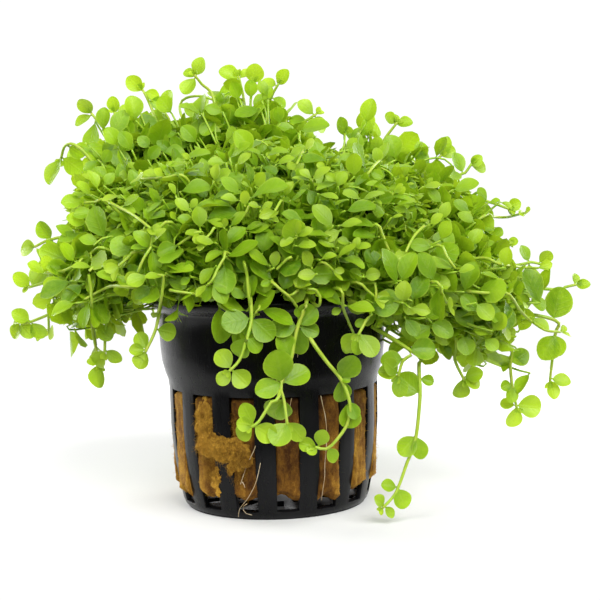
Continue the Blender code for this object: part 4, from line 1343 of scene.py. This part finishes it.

# %% [markdown]
# ## Leaves that the photograph shows
# Chance can grow a cushion of this kind, but not this very plant. So the leaves and stems
# that stand out in the picture were marked in pixels of the photograph: base, tip,
# width and age. A line from the camera through the base meets the cushion's solid, and the
# leaf is set there, young leaves a little above the skin and old ones in it.

# %% Marked leaves and stems
# Each leaf: base x, base y, tip x, tip y and width in pixels, and its age from lime to dark.
# The age also paints each leaf's light and shade: sheened and well-lit leaves got low ages, shaded ones high
# ages.
SEEN_LEAVES = [
    (216, 243, 198, 241, 9, 0.1), (226, 246, 240, 227, 13, 0.45), (226, 257, 257, 246, 12, 0.3),
    (225, 251, 207, 258, 8, 0.3), (216, 266, 201, 280, 10, 0.3), (208, 284, 197, 295, 7, 0.1),
    (213, 281, 225, 301, 17, 0.35), (212, 284, 205, 299, 11, 0.5), (236, 288, 226, 271, 15, 0.65),
    (247, 297, 232, 292, 10, 0.5), (247, 311, 221, 304, 13, 0.25), (219, 307, 223, 339, 22, 0.5),
    (236, 318, 238, 342, 14, 0.6), (252, 320, 248, 342, 18, 0.15), (256, 320, 262, 348, 16, 0.5),
    (251, 312, 275, 294, 16, 0.25), (249, 300, 253, 278, 13, 0.4), (272, 280, 252, 264, 14, 0.6),
    (270, 266, 250, 254, 9, 0.25), (274, 268, 276, 253, 11, 0.15), (282, 291, 292, 268, 19, 0.7),
    (272, 281, 262, 285, 8, 0.4), (260, 308, 291, 321, 15, 0.4), (297, 306, 297, 316, 6, 0.4),
    (297, 328, 270, 331, 18, 0.4), (294, 335, 269, 346, 15, 0.3), (302, 321, 319, 304, 18, 0.35),
    (300, 330, 318, 325, 14, 0.6), (299, 336, 306, 362, 15, 0.35), (312, 268, 304, 253, 12, 0.1),
    (317, 274, 300, 276, 12, 0.02), (320, 260, 334, 254, 6, 0.2), (338, 248, 320, 243, 8, 0.2),
    (294, 245, 293, 221, 25, 0.3), (296, 246, 313, 243, 9, 0.2), (330, 236, 307, 232, 8, 0.3),
    (262, 254, 267, 231, 20, 0.5), (298, 256, 271, 239, 10, 0.4), (250, 234, 266, 226, 9, 0.3),
    (246, 273, 240, 256, 13, 0.5), (122, 207, 137, 197, 7, 0.3), (119, 208, 134, 210, 5, 0.25),
    (151, 245, 160, 229, 7, 0.1), (152, 249, 154, 271, 14, 0.4), (150, 247, 133, 248, 6, 0.45),
    (152, 248, 138, 233, 14, 0.55), (178, 245, 160, 252, 16, 0.55), (202, 232, 187, 234, 8, 0.25),
    (200, 229, 199, 209, 16, 0.3), (206, 220, 224, 224, 9, 0.2), (196, 224, 180, 218, 11, 0.5),
    (190, 212, 178, 200, 11, 0.25), (190, 212, 224, 198, 6, 0.25), (102, 241, 130, 231, 12, 0.35),
    (100, 243, 82, 237, 12, 0.4), (95, 272, 121, 261, 12, 0.3), (166, 273, 188, 264, 8, 0.25),
    (190, 276, 188, 262, 10, 0.5), (191, 277, 182, 284, 8, 0.4), (166, 280, 184, 284, 14, 0.65),
    (103, 293, 120, 300, 13, 0.85), (152, 286, 137, 295, 13, 0.85), (148, 275, 129, 284, 15, 0.3),
    (164, 275, 147, 279, 8, 0.25), (187, 290, 189, 310, 11, 0.5), (115, 274, 128, 288, 10, 0.4),
    (339, 226, 360, 224, 10, 0.2), (377, 227, 356, 221, 9, 0.4), (341, 230, 325, 238, 13, 0.1),
    (351, 243, 339, 240, 8, 0.25), (353, 246, 369, 247, 8, 0.2), (355, 250, 357, 239, 8, 0.15),
    (379, 237, 355, 238, 9, 0.45), (336, 256, 355, 248, 7, 0.15), (341, 257, 363, 265, 8, 0.3),
    (397, 283, 388, 251, 18, 0.4), (401, 281, 413, 255, 18, 0.35), (381, 279, 370, 251, 17, 0.8),
    (434, 281, 422, 255, 18, 0.45), (455, 268, 428, 264, 8, 0.25), (432, 247, 413, 244, 14, 0.4),
    (364, 277, 378, 273, 13, 0.15), (364, 278, 351, 272, 11, 0.25), (352, 280, 326, 275, 13, 0.5),
    (373, 303, 398, 301, 25, 0.4), (403, 303, 404, 284, 17, 0.1), (410, 308, 428, 311, 13, 0.15),
    (412, 301, 424, 276, 20, 0.7), (440, 286, 436, 317, 15, 0.5), (343, 305, 319, 291, 13, 0.45),
    (343, 308, 333, 313, 8, 0.3), (346, 306, 372, 308, 12, 0.2), (354, 334, 347, 352, 13, 0.5),
    (405, 318, 417, 334, 14, 0.7), (432, 326, 415, 336, 18, 0.55), (431, 322, 450, 333, 19, 0.6),
    (425, 318, 440, 312, 12, 0.4), (456, 272, 473, 269, 9, 0.2), (464, 292, 473, 264, 20, 0.5),
    (478, 312, 463, 297, 16, 0.45), (476, 303, 491, 318, 17, 0.25), (475, 327, 457, 312, 16, 0.7),
    (492, 331, 505, 316, 17, 0.15), (492, 334, 477, 329, 10, 0.2), (462, 335, 468, 353, 18, 0.5),
    (484, 338, 496, 348, 14, 0.4), (540, 303, 528, 271, 20, 0.6), (531, 292, 541, 310, 13, 0.5),
    (542, 292, 549, 271, 12, 0.45), (522, 278, 505, 274, 11, 0.35), (503, 280, 482, 276, 5, 0.25),
    (512, 288, 486, 286, 7, 0.4), (505, 268, 507, 250, 14, 0.2), (470, 245, 479, 231, 14, 0.25),
    (447, 240, 446, 225, 12, 0.2), (505, 300, 512, 325, 10, 0.85), (518, 332, 528, 318, 13, 0.6),
    (531, 317, 547, 329, 11, 0.25), (515, 347, 525, 362, 13, 0.45), (513, 352, 506, 371, 10, 0.5),
    (530, 373, 517, 390, 12, 0.65), (52, 273, 44, 258, 13, 0.15), (46, 273, 29, 265, 11, 0.25),
    (71, 281, 42, 292, 17, 0.8), (83, 284, 63, 299, 15, 0.85), (76, 303, 53, 310, 12, 0.3),
    (89, 303, 80, 323, 12, 0.5), (91, 303, 92, 326, 10, 0.45), (93, 299, 105, 322, 15, 0.65),
    (97, 322, 109, 339, 16, 0.6), (75, 262, 61, 246, 13, 0.45), (58, 262, 46, 243, 13, 0.5),
    (77, 240, 61, 225, 12, 0.5), (93, 268, 75, 263, 7, 0.25), (122, 281, 100, 272, 10, 0.5),
    (250, 198, 284, 185, 10, 0.25), (241, 194, 223, 179, 12, 0.4), (240, 201, 223, 197, 7, 0.2),
    (245, 206, 244, 192, 10, 0.02), (260, 211, 271, 203, 7, 0.2), (260, 207, 250, 204, 7, 0.15),
    (260, 215, 277, 217, 6, 0.25), (241, 214, 211, 214, 14, 0.65), (230, 227, 243, 213, 11, 0.3),
    (224, 228, 226, 219, 7, 0.02), (243, 230, 261, 224, 8, 0.4), (246, 232, 266, 229, 8, 0.25),
    (255, 187, 264, 174, 12, 0.2), (285, 192, 271, 185, 8, 0.25), (284, 197, 290, 183, 9, 0.1),
    (226, 163, 210, 162, 9, 0.3), (230, 158, 248, 144, 9, 0.3), (236, 165, 249, 155, 9, 0.15),
    (214, 182, 217, 166, 11, 0.1), (222, 172, 244, 184, 10, 0.4), (180, 192, 208, 185, 13, 0.4),
    (186, 164, 170, 166, 5, 0.25), (184, 160, 207, 151, 7, 0.3), (312, 180, 328, 168, 9, 0.15),
    (312, 180, 302, 170, 8, 0.15), (312, 181, 294, 179, 4, 0.2), (318, 194, 336, 198, 6, 0.25),
    (333, 226, 315, 207, 17, 0.25), (307, 189, 318, 204, 14, 0.75), (277, 146, 262, 142, 5, 0.25),
    (289, 159, 300, 149, 8, 0.25), (303, 150, 314, 141, 9, 0.1), (276, 165, 291, 157, 7, 0.25),
    (136, 121, 132, 98, 19, 0.3), (95, 121, 90, 150, 16, 0.25), (86, 143, 102, 157, 17, 0.3),
    (103, 131, 103, 110, 14, 0.5), (112, 135, 124, 112, 18, 0.4), (140, 112, 155, 135, 18, 0.55),
    (108, 150, 128, 165, 18, 0.45), (116, 142, 104, 150, 11, 0.85), (112, 140, 132, 148, 14, 0.45),
    (88, 150, 69, 156, 14, 0.5), (163, 153, 182, 150, 12, 0.5), (178, 133, 162, 134, 9, 0.5),
    (160, 175, 145, 172, 8, 0.15), (98, 190, 91, 172, 11, 0.35), (121, 195, 104, 200, 6, 0.05),
    (84, 200, 63, 203, 15, 0.4), (203, 112, 186, 110, 14, 0.3), (215, 120, 203, 134, 14, 0.35),
    (260, 108, 237, 116, 12, 0.4), (252, 152, 238, 133, 20, 0.45), (197, 143, 184, 128, 16, 0.45),
    (223, 112, 207, 108, 12, 0.4), (280, 124, 277, 109, 12, 0.45), (300, 131, 326, 123, 13, 0.35),
    (298, 133, 278, 128, 10, 0.4), (396, 160, 391, 138, 20, 0.4), (345, 134, 366, 142, 13, 0.6),
    (354, 177, 353, 155, 17, 0.3), (424, 162, 420, 144, 14, 0.4), (453, 190, 477, 184, 13, 0.35),
    (390, 192, 369, 183, 7, 0.3), (362, 200, 346, 192, 7, 0.25), (362, 200, 380, 190, 8, 0.25),
    (345, 211, 373, 205, 13, 0.6), (387, 215, 370, 208, 7, 0.35), (394, 204, 413, 203, 6, 0.3),
    (411, 213, 397, 206, 8, 0.2), (429, 225, 441, 215, 9, 0.15), (441, 220, 447, 204, 12, 0.25),
    (440, 241, 448, 223, 14, 0.35), (475, 223, 461, 213, 11, 0.3), (423, 187, 439, 185, 6, 0.15),
    (393, 194, 403, 186, 7, 0.2), (442, 203, 430, 191, 9, 0.35), (470, 212, 456, 202, 10, 0.55),
    (138, 298, 128, 305, 4, 1.0), (138, 299, 142, 308, 4, 1.0), (413, 338, 389, 349, 11, 1.0),
    (414, 341, 432, 355, 13, 0.9), (439, 341, 449, 357, 12, 0.9), (296, 238, 282, 243, 9, 0.1),
    (297, 237, 311, 229, 9, 0.12), (296, 236, 300, 223, 8, 0.08), (345, 150, 356, 140, 8, 0.3),
    (164, 170, 171, 161, 4, 0.25), (170, 166, 187, 162, 4, 0.3), (169, 175, 204, 171, 8, 0.35),
    (176, 196, 171, 184, 6, 0.3), (213, 181, 229, 172, 11, 0.25), (250, 187, 242, 183, 4, 0.3),
    (190, 209, 196, 200, 8, 0.2), (176, 220, 170, 213, 6, 0.25), (164, 177, 155, 170, 8, 0.1),
    (190, 160, 184, 154, 6, 0.15), (265, 157, 284, 148, 5, 0.35), (262, 155, 250, 149, 5, 0.35),
    (252, 184, 249, 168, 9, 0.95), (262, 166, 275, 173, 8, 0.9), (213, 199, 226, 191, 5, 0.7),
    (163, 200, 150, 212, 5, 0.5), (290, 201, 305, 192, 6, 0.45), (338, 182, 318, 188, 7, 0.3),
    (338, 187, 344, 173, 12, 0.35), (337, 182, 328, 175, 8, 0.25), (320, 200, 336, 208, 9, 0.9),
    (348, 200, 336, 202, 3, 0.3), (371, 200, 381, 202, 3, 0.2), (376, 201, 391, 197, 12, 0.85),
    (370, 171, 381, 176, 10, 0.4), (379, 163, 377, 150, 11, 0.25), (398, 195, 404, 188, 7, 0.1),
    (392, 196, 409, 200, 7, 0.4), (391, 218, 402, 216, 4, 0.15), (304, 224, 284, 214, 10, 0.55),
    (318, 232, 317, 218, 14, 0.6), (300, 180, 298, 170, 7, 0.4), (328, 160, 304, 158, 9, 0.6),
    (326, 170, 318, 164, 8, 0.2), (344, 137, 341, 119, 11, 0.75), (350, 143, 362, 130, 12, 0.6),
    (352, 140, 347, 128, 9, 0.8), (366, 123, 371, 101, 17, 0.3), (368, 138, 366, 122, 13, 0.4),
    (118, 146, 108, 130, 16, 0.45), (132, 150, 122, 134, 15, 0.5), (92, 148, 76, 150, 14, 0.4),
    (98, 160, 86, 170, 10, 0.55), (102, 164, 110, 152, 12, 0.6), (172, 153, 160, 142, 12, 0.7),
    (182, 152, 172, 139, 12, 0.75), (190, 144, 174, 147, 10, 0.8), (240, 100, 232, 84, 14, 0.45),
    (251, 99, 250, 82, 14, 0.5), (262, 101, 270, 88, 12, 0.35), (268, 97, 262, 82, 10, 0.3),
    (172, 114, 160, 99, 18, 0.35), (488, 203, 499, 201, 6, 0.4), (500, 202, 511, 207, 5, 0.2),
    (108, 178, 96, 168, 10, 0.7), (150, 148, 140, 138, 12, 0.5), (148, 160, 158, 148, 12, 0.55),
    (92, 195, 78, 184, 10, 0.35), (86, 193, 73, 197, 8, 0.45), (95, 212, 76, 214, 13, 0.4),
    (88, 223, 68, 219, 12, 0.3), (80, 233, 61, 237, 11, 0.4), (104, 186, 112, 174, 10, 0.5),
]
# Each stem: its points from the inside outwards, in pixels.
SEEN_STEMS = [
    [(110, 204), (120, 208), (130, 213), (140, 220), (150, 228)],
    [(171, 222), (162, 226), (157, 231), (152, 239), (151, 247), (144, 258), (138, 272)],
    [(200, 232), (190, 237), (178, 245)],
    [(103, 248), (92, 253), (82, 259), (74, 266), (62, 271), (45, 273)],
    [(138, 251), (128, 258), (119, 266)],
    [(158, 275), (163, 275), (163, 285), (161, 300), (158, 312)],
    [(130, 287), (112, 286), (100, 291), (85, 299)],
    [(170, 290), (195, 294)],
    [(92, 268), (91, 290), (92, 305), (93, 325), (96, 345)],
    [(225, 252), (224, 258), (217, 270), (212, 281), (206, 286)],
    [(244, 262), (247, 275), (248, 290), (250, 305), (251, 322)],
    [(272, 282), (281, 290), (290, 297), (297, 307)],
    [(290, 296), (298, 290)],
    [(218, 300), (222, 307), (232, 313), (247, 323)],
    [(259, 308), (251, 320)],
    [(291, 257), (283, 263), (277, 269)],
    [(251, 205), (246, 213), (242, 219)],
    [(282, 201), (275, 211)],
    [(303, 153), (297, 164)],
    [(217, 227), (211, 233), (205, 239)],
    [(376, 224), (382, 234), (386, 243), (389, 250)],
    [(424, 226), (415, 235), (409, 245), (406, 252)],
    [(438, 245), (447, 257), (455, 268)],
    [(437, 282), (442, 293), (447, 303)],
    [(341, 290), (343, 307), (347, 318), (353, 332)],
    [(357, 282), (366, 289), (374, 296)],
    [(375, 283), (376, 290), (376, 299)],
    [(322, 262), (333, 270)],
    [(318, 306), (320, 296), (316, 290), (308, 289)],
    [(476, 292), (490, 293), (506, 293), (512, 298), (520, 310), (530, 320), (545, 330), (560, 332)],
    [(480, 258), (500, 264), (520, 267), (538, 268)],
    [(182, 118), (180, 105), (186, 98), (200, 96), (214, 100)],
    [(185, 177), (165, 178), (142, 179)],
    [(106, 201), (96, 202), (84, 203)],
    [(370, 171), (382, 158)],
    [(484, 216), (494, 217), (508, 217), (524, 213)],
]
# Each opening through which the backdrop shows: its middle in pixels, its radius in millimetres.
SEEN_GAPS = [(338, 147, 2.9), (262, 121, 1.4), (172, 116, 1.6), (83, 170, 1.4), (240, 124, 1.2)]


# %% Setting the marked leaves
SEEN_LIFT_YOUNG, SEEN_LIFT_OLD = 2.6, -2.2
SEEN_LEAN, SEEN_LEANS = 0.22, (0.4, 1.6)
SEEN_ROOT, SEEN_STEM_LIFT = 9.0, 1.6
SEEN_STEM_RADIUS, SEEN_STEM_TIP, SEEN_STEM_TONE = 0.36, 0.28, 0.25
STALK_RADIUS, STALK_TIP, STALK_TONE = 0.3, 0.22, 0.6
STALK_BEND_AT, STALK_BEND = 0.4, 0.7
LARGE_IS_OLDER, LARGE_FROM = 0.05, 4
TILT_ROOM = 1.04
BROAD_LEAF, ROUND_FROM = 0.74, 0.76
BUD_ROOM, SEEN_BUD = 7, 2.6
UP_TO_CAMERA = Vector((0, -0.7, 0.7))
SIGHT_STEPS = np.arange(300, 420, 3.0)
skin_tree = BVHTree.FromBMesh(skin)
EYE = camera.location / MM


def sight(x, y):
    """The way from the camera through a pixel of the photograph."""
    right, up, forward = camera_axes()
    half = IMAGE_WIDTH / 2
    return (forward + (right * (x - half) - up * (y - half)) / FOCAL_PIXELS).normalized()


def on_foliage(x, y, lift):
    """Where a pixel's line of sight meets the cushion, or passes nearest to it."""
    way = sight(x, y)
    place, _, _, _ = skin_tree.ray_cast(EYE * MM, way)
    if place is None:
        steps = [EYE + way * distance for distance in SIGHT_STEPS]
        place = min(steps, key=lambda step: skin_tree.find_nearest(step * MM)[3]) * MM
    return place / MM - way * lift


def in_gap(place):
    """Whether a place lies on the line of sight through one of the openings."""
    way = place - EYE
    return any(way.cross(sight(x, y)).length < radius for x, y, radius in SEEN_GAPS)


def add_seen_leaf(sheaf, chance, base_x, base_y, tip_x, tip_y, width, age):
    lift = SEEN_LIFT_YOUNG + (SEEN_LIFT_OLD - SEEN_LIFT_YOUNG) * age
    base = on_foliage(base_x, base_y, lift)
    depth = (base - EYE).length
    view = -sight(base_x, base_y)
    flat = sight(tip_x, tip_y) * depth - sight(base_x, base_y) * depth
    way = flat + view * flat.length * SEEN_LEAN * chance.uniform(*SEEN_LEANS)
    size = way.length
    seen_width = width * depth / FOCAL_PIXELS
    age = min(age + LARGE_IS_OLDER * max(size - LARGE_FROM, 0), 1)
    # A leaf that looks narrower than one of its length grows is taken to be tilted.
    real_width = max(seen_width * TILT_ROOM, BROAD_LEAF * size)
    tilt = math.acos(min(seen_width / real_width, 1))
    beside = way.normalized().cross(view).normalized()
    if beside.z < 0:
        beside = -beside
    face = view * math.cos(tilt) + beside * math.sin(tilt)
    form = draw_leaf_form(chance, ROUND_SHARE if real_width > ROUND_FROM * size else 0.0)
    form["width"] = real_width / size
    inner = into_mass(base, SEEN_ROOT)
    middle = base.lerp(inner, STALK_BEND_AT) + jitter(chance, STALK_BEND)
    sheaf.tube(along_curve([inner, middle, base], 1.5), STALK_RADIUS, STALK_TIP, finish=1, tone=STALK_TONE)
    add_leaf(sheaf, base, way, face, size, form, age, MOST_TONE * age * chance.random(), grid="fine")
    return base + way / 2


def add_seen_stem(sheaf, chance, pixels):
    """A marked stem, with a bud where no marked leaf sits at its end."""
    points = [on_foliage(x, y, SEEN_STEM_LIFT) for x, y in pixels]
    start = into_mass(points[0], SEEN_ROOT)
    sheaf.tube(along_curve([start] + points, 1.0), SEEN_STEM_RADIUS, SEEN_STEM_TIP, sides=7, finish=1,
               tone=SEEN_STEM_TONE)
    end_x, end_y = pixels[-1]
    if all(math.hypot(end_x - x, end_y - y) > BUD_ROOM for x, y, *_ in SEEN_LEAVES):
        heading = (points[-1] - points[-2]).normalized()
        add_bud(sheaf, chance, points[-1], heading, UP_TO_CAMERA, SEEN_BUD)


def make_seen_leaves():
    chance = random.Random(SEED)
    sheaf = Sheaf()
    centres = [add_seen_leaf(sheaf, chance, *leaf) for leaf in SEEN_LEAVES]
    for pixels in SEEN_STEMS:
        add_seen_stem(sheaf, chance, pixels)
    return sheaf.piece("marked_foliage", "foliage", "leaf_cushion", *greens), centres


marked, marked_centres = make_seen_leaves()
print("marked leaves:", len(SEEN_LEAVES), "stems:", len(SEEN_STEMS), "triangles:", triangles(marked))

# %% [markdown]
# ## Growing the stems
# The stems creep outwards and then hang, so a tip's heading mixes the skin's normal with the
# way outwards and down, and some chance. Leaves stand in opposite pairs, each pair turned by
# about a quarter from the last one, with their upper sides towards the light.

# %% Stems and pairs
# How a tip heads: the way outwards and down, the skin's normal, and chance.
AXIS_RADIUS, DEPTH_STRETCH = 6, 1.1
HANGS, ALONG_NORMAL, ALONG_FLOW, HEADING_JITTER = 0.9, 0.55, 0.7, 0.42
STEM_LENGTH, PATH_STEPS = 17.0, 9
BEND_POWER, BEND_RATE = 0.8, 1.15
SPRIG_FOOT, SPRIG_TIP = 0.26, 0.19
SPRIG_SCALES = (0.8, 1.12)
QUARTER_SPREAD, FIRST_TURN, NEXT_TURN = 0.25, 1.3, 1.4
SPRIG_BUD = 1.4
# Each pair from the tip inwards: its distance from the tip, its length, how far it leans ahead.
PAIRS = [(0.4, 2.4, 0.9), (1.9, 4.3, 0.45), (5.0, 5.5, 0.3), (9.5, 5.9, 0.25)]
PAIR_STEP_SPREAD, PAIR_LEAN_SPREAD, PAIR_SIZES = (0.85, 1.15), (0.6, 1.4), (0.8, 1.15)
SPREAD_JITTER, TOP_JITTER = 0.12, 0.22
MASS_ROUND_SHARE = 0.6
# Leaves on the crown: a little smaller, narrower, more pointed and older.
SMALL_ABOVE, SMALL_UNTIL_Y = 55, 16
SMALL_SCALE, SMALL_WIDTH, SMALL_POINT, SMALL_IS_OLDER = 0.98, 0.84, 0.12, 0.08
AGE_OF_TIP, AGE_OF_PAIR, AGE_DRAW = 0.05, 0.17, (-0.05, 0.18)
# Painted back light: leaves at the sides and along the ridge at the back get a lower age, so they are
# painted lighter.
SIDE_BACKLIGHT_SHARE, BACKLIT_FROM_X, BACKLIT_OVER = 0.16, 18, 20
RIDGE_BACKLIGHT_SHARE, RIDGE_FROM_Z, RIDGE_OVER, RIDGE_FROM_Y = 0.3, 62, 12, 8
# How far leaves look up: fully on the crown, least on the skirts and behind.
LIGHT_FROM_Z, LIGHT_OVER, LEAST_UP, SHADED_FROM_Y = 48, 12, 0.3, 16
TURNED_FORWARD = Vector((0, -0.5, 0))
FACE_AHEAD, AHEAD_LESS, FACE_SKIN, SKIN_LESS, FACE_LIGHT = 0.45, 0.1, 1.1, 0.75, 1.25


def growing_way(place, normal, chance):
    """Where a stem tip at this place on the skin is heading."""
    radial = Vector((place.x, place.y * DEPTH_STRETCH, 0))
    if radial.length > AXIS_RADIUS:
        radial = radial.normalized()
    else:
        radial = Vector((chance.gauss(0, 1), chance.gauss(0, 1), 0))
    steep = 1 - max(normal.z, 0)
    flow = radial * (1 - steep) - UP * steep * HANGS
    flow = flow - normal * flow.dot(normal)
    chosen = jitter(chance, HEADING_JITTER)
    return (normal * ALONG_NORMAL + flow.normalized() * ALONG_FLOW + chosen).normalized()


def diving_path(tip, way):
    """The stem from its tip backwards: along its heading at first, then down to the heart."""
    path = [tip.copy()]
    for step in range(PATH_STEPS):
        dive = min(1, (step / PATH_STEPS) ** BEND_POWER * BEND_RATE)
        inward = (HEART - path[-1]).normalized()
        heading = (-way).lerp(inward, dive).normalized()
        path.append(path[-1] + heading * STEM_LENGTH / PATH_STEPS)
    return path


def leaf_face(place, heading, normal):
    """Where a leaf's upper side looks: up on the crown, outwards on the skirts."""
    up = clamp((place.z - LIGHT_FROM_Z) / LIGHT_OVER, LEAST_UP)
    if place.y > SHADED_FROM_Y:
        normal = (normal + TURNED_FORWARD).normalized()
        up = LEAST_UP
    ahead = heading * (FACE_AHEAD - AHEAD_LESS * up)
    return (ahead + normal * (FACE_SKIN - SKIN_LESS * up) + UP * (FACE_LIGHT * up)).normalized()


def leaf_age(place, index, older, small, chance):
    """Older with every pair, and lower at the sides and along the ridge at the back as painted back light.
    """
    beside = clamp((abs(place.x) - BACKLIT_FROM_X) / BACKLIT_OVER)
    age = AGE_OF_TIP + AGE_OF_PAIR * index + older + SMALL_IS_OLDER * small + chance.uniform(*AGE_DRAW)
    age -= SIDE_BACKLIGHT_SHARE * beside
    ridge = clamp((place.z - RIDGE_FROM_Z) / RIDGE_OVER) * (place.y > RIDGE_FROM_Y)
    return age * (1 - RIDGE_BACKLIGHT_SHARE * ridge)


def add_sprig(sheaf, chance, tip, way, normal, layer):
    """A stem that ends in tip, with its pairs of leaves."""
    path = diving_path(tip, way)
    older = layer["older"]
    tone = min(chance.random() * MOST_TONE + older * 0.5, 1)
    scale = chance.uniform(*SPRIG_SCALES)
    small = tip.z > SMALL_ABOVE and tip.y < SMALL_UNTIL_Y
    if small:
        scale *= SMALL_SCALE
    sheaf.tube(path[::-1], SPRIG_FOOT, SPRIG_TIP, sides=4, finish=1, tone=0.5 + tone / 2)
    quarter = chance.uniform(-QUARTER_SPREAD, QUARTER_SPREAD) + chance.choice((0, 1)) * FIRST_TURN
    add_bud(sheaf, chance, tip, way, leaf_face(tip, way, normal), SPRIG_BUD * scale, grid="bud")
    for index, (distance, length, ahead) in enumerate(PAIRS[:layer["pairs"]]):
        knot = distance * scale * chance.uniform(*PAIR_STEP_SPREAD) * PATH_STEPS / STEM_LENGTH
        inner = min(int(knot), PATH_STEPS - 1)
        place = path[inner].lerp(path[inner + 1], knot - inner)
        heading = (path[inner] - path[inner + 1]).normalized()
        face = leaf_face(place, heading, normal)
        side = heading.cross(face).normalized()
        upper = side.cross(heading).normalized()
        turn = quarter + (index % 2) * NEXT_TURN
        for sign in (-1, 1):
            spread = side * math.cos(turn) * sign + upper * math.sin(turn) * sign
            spread = spread + heading * ahead * chance.uniform(*PAIR_LEAN_SPREAD)
            spread = (spread + jitter(chance, SPREAD_JITTER)).normalized()
            size = length * scale * chance.uniform(*PAIR_SIZES)
            top = face + jitter(chance, TOP_JITTER)
            if in_pot(place + spread * size) or in_pot(place) or in_gap(place + spread * size / 2):
                continue
            age = leaf_age(place, index, older, small, chance)
            form = draw_leaf_form(chance, 0.0 if small else MASS_ROUND_SHARE)
            if small:
                form["width"] *= SMALL_WIDTH
                form["point"] += SMALL_POINT
            add_leaf(sheaf, place, spread, top, size, form, age, tone, grid=layer["grid"])


# %% [markdown]
# ## The mass in six pieces
# Two layers of tips are scattered over the skin, an outer one of young stems and a deeper one
# of older stems with coarser leaves. Near a marked leaf the tips move further in, so that the
# marked leaf stays in front. The stems are shared out to six pieces by where their tips lie, so
# that no piece grows too large.

# %% Growing the mass
LAYERS = {
    "outer": {"tips": 1050, "spacing": 3.15, "under": (0.6, 2.6), "pairs": 4, "older": 0.0, "grid": "plain"},
    "inner": {"tips": 560, "spacing": 4.0, "under": (5.0, 8.5), "pairs": 3, "older": 0.5, "grid": "hidden"},
}
TIP_CLEARANCE = 2.5
MARKED_ROOM, MARKED_REACH, ROOM_SHARE = 2.9, 4.6, 1.6
# Where one piece of the foliage ends and the next begins.
BACK_FROM_Y, BACK_SPLIT_X = 14, 2
LEFT_UNTIL_X, RIGHT_FROM_X, CROWN_FROM_Z = -16, 18, 58


def region_of(place):
    """Which piece of the foliage a tip belongs to."""
    if place.y > BACK_FROM_Y:
        return "back_left_foliage" if place.x < BACK_SPLIT_X else "back_right_foliage"
    if place.x < LEFT_UNTIL_X:
        return "left_foliage"
    if place.x > RIGHT_FROM_X:
        return "right_foliage"
    return "front_foliage" if place.z < CROWN_FROM_Z else "crown_foliage"


def make_room(tip, normal, marked_tree):
    """Moves a tip under the marked leaves near it, so that they stay in front."""
    distance = marked_tree.find(tip)[2]
    return tip - normal * MARKED_ROOM * clamp(ROOM_SHARE - distance / MARKED_REACH)


def grow_mass():
    sheaves = {}
    chance = random.Random(SEED)
    marked_tree = KDTree(len(marked_centres))
    for index, centre in enumerate(marked_centres):
        marked_tree.insert(centre, index)
    marked_tree.balance()
    for layer in LAYERS.values():
        for place, normal in scatter_tips(skin, skin_normals, chance, layer["tips"], layer["spacing"]):
            tip = place - normal * chance.uniform(*layer["under"])
            tip = make_room(tip, normal, marked_tree)
            if in_pot(tip, TIP_CLEARANCE):
                continue
            way = growing_way(place, normal, chance)
            sheaf = sheaves.setdefault(region_of(place), Sheaf())
            add_sprig(sheaf, chance, tip, way, normal, layer)
    return [sheaf.piece(name, "foliage", "leaf_cushion", *greens) for name, sheaf in sheaves.items()]


for piece in grow_mass():
    print(piece.name + ":", triangles(piece), "triangles")

# %% [markdown]
# ## Shaded core
# The core is the cushion's own form, shrunk and roughened, in a dark green that is painted shade.
# It only shows as depth between the leaves and keeps the bright backdrop from shining through them.

# %% Core
CORE_INSET = 9.5
CORE_LID, CORE_LID_RADIUS = 49.5, 29
CORE_VOXEL = 1.3
CORE_LUMPS, CORE_LUMP_HEIGHT, CORE_LEVEL = 5.0, 4.0, 0.6
# Painted shade: the core's colours are a near-black green, where only shade would fall.
CORE_PAINTED_SHADE = [(0.35, (0.014, 0.045, 0.002)), (0.65, (0.06, 0.17, 0.006))]
CORE_ROUGH, CORE_SPECULAR, CORE_DEPTH = 0.9, 0.1, 1.2


def core_finish():
    nodes = Nodes(bpy.data.materials.new("painted_shade_core"))
    lumps = nodes.noise(0.8, detail=5, roughness=0.7)
    colour = nodes.ramp(lumps, *CORE_PAINTED_SHADE)
    nodes.look({"Base Color": colour, "Roughness": CORE_ROUGH, "Specular IOR Level": CORE_SPECULAR})
    nodes.bump(lumps, CORE_DEPTH)
    return nodes.owner


def make_core(finish):
    bm = skin.copy()
    for vertex in bm.verts:
        place = vertex.co / MM
        place += (HEART - place).normalized() * CORE_INSET
        if math.hypot(place.x, place.y) < CORE_LID_RADIUS:
            place.z = max(place.z, CORE_LID)
        vertex.co = place * MM
    core = from_bmesh("shaded_core", bm, finish)
    reshape(core, "REMESH", mode="VOXEL", voxel_size=CORE_VOXEL * MM)
    displace(core, "core_lumps", CORE_LUMPS, CORE_LUMP_HEIGHT, CORE_LEVEL)
    core.data.shade_smooth()
    return stands_for(core, "foliage", "leaf_cushion")


core = make_core(core_finish())
print("core:", triangles(core), "triangles")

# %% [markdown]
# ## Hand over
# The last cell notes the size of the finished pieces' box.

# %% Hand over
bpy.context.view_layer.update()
print("finished box:", in_mm(*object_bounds()))
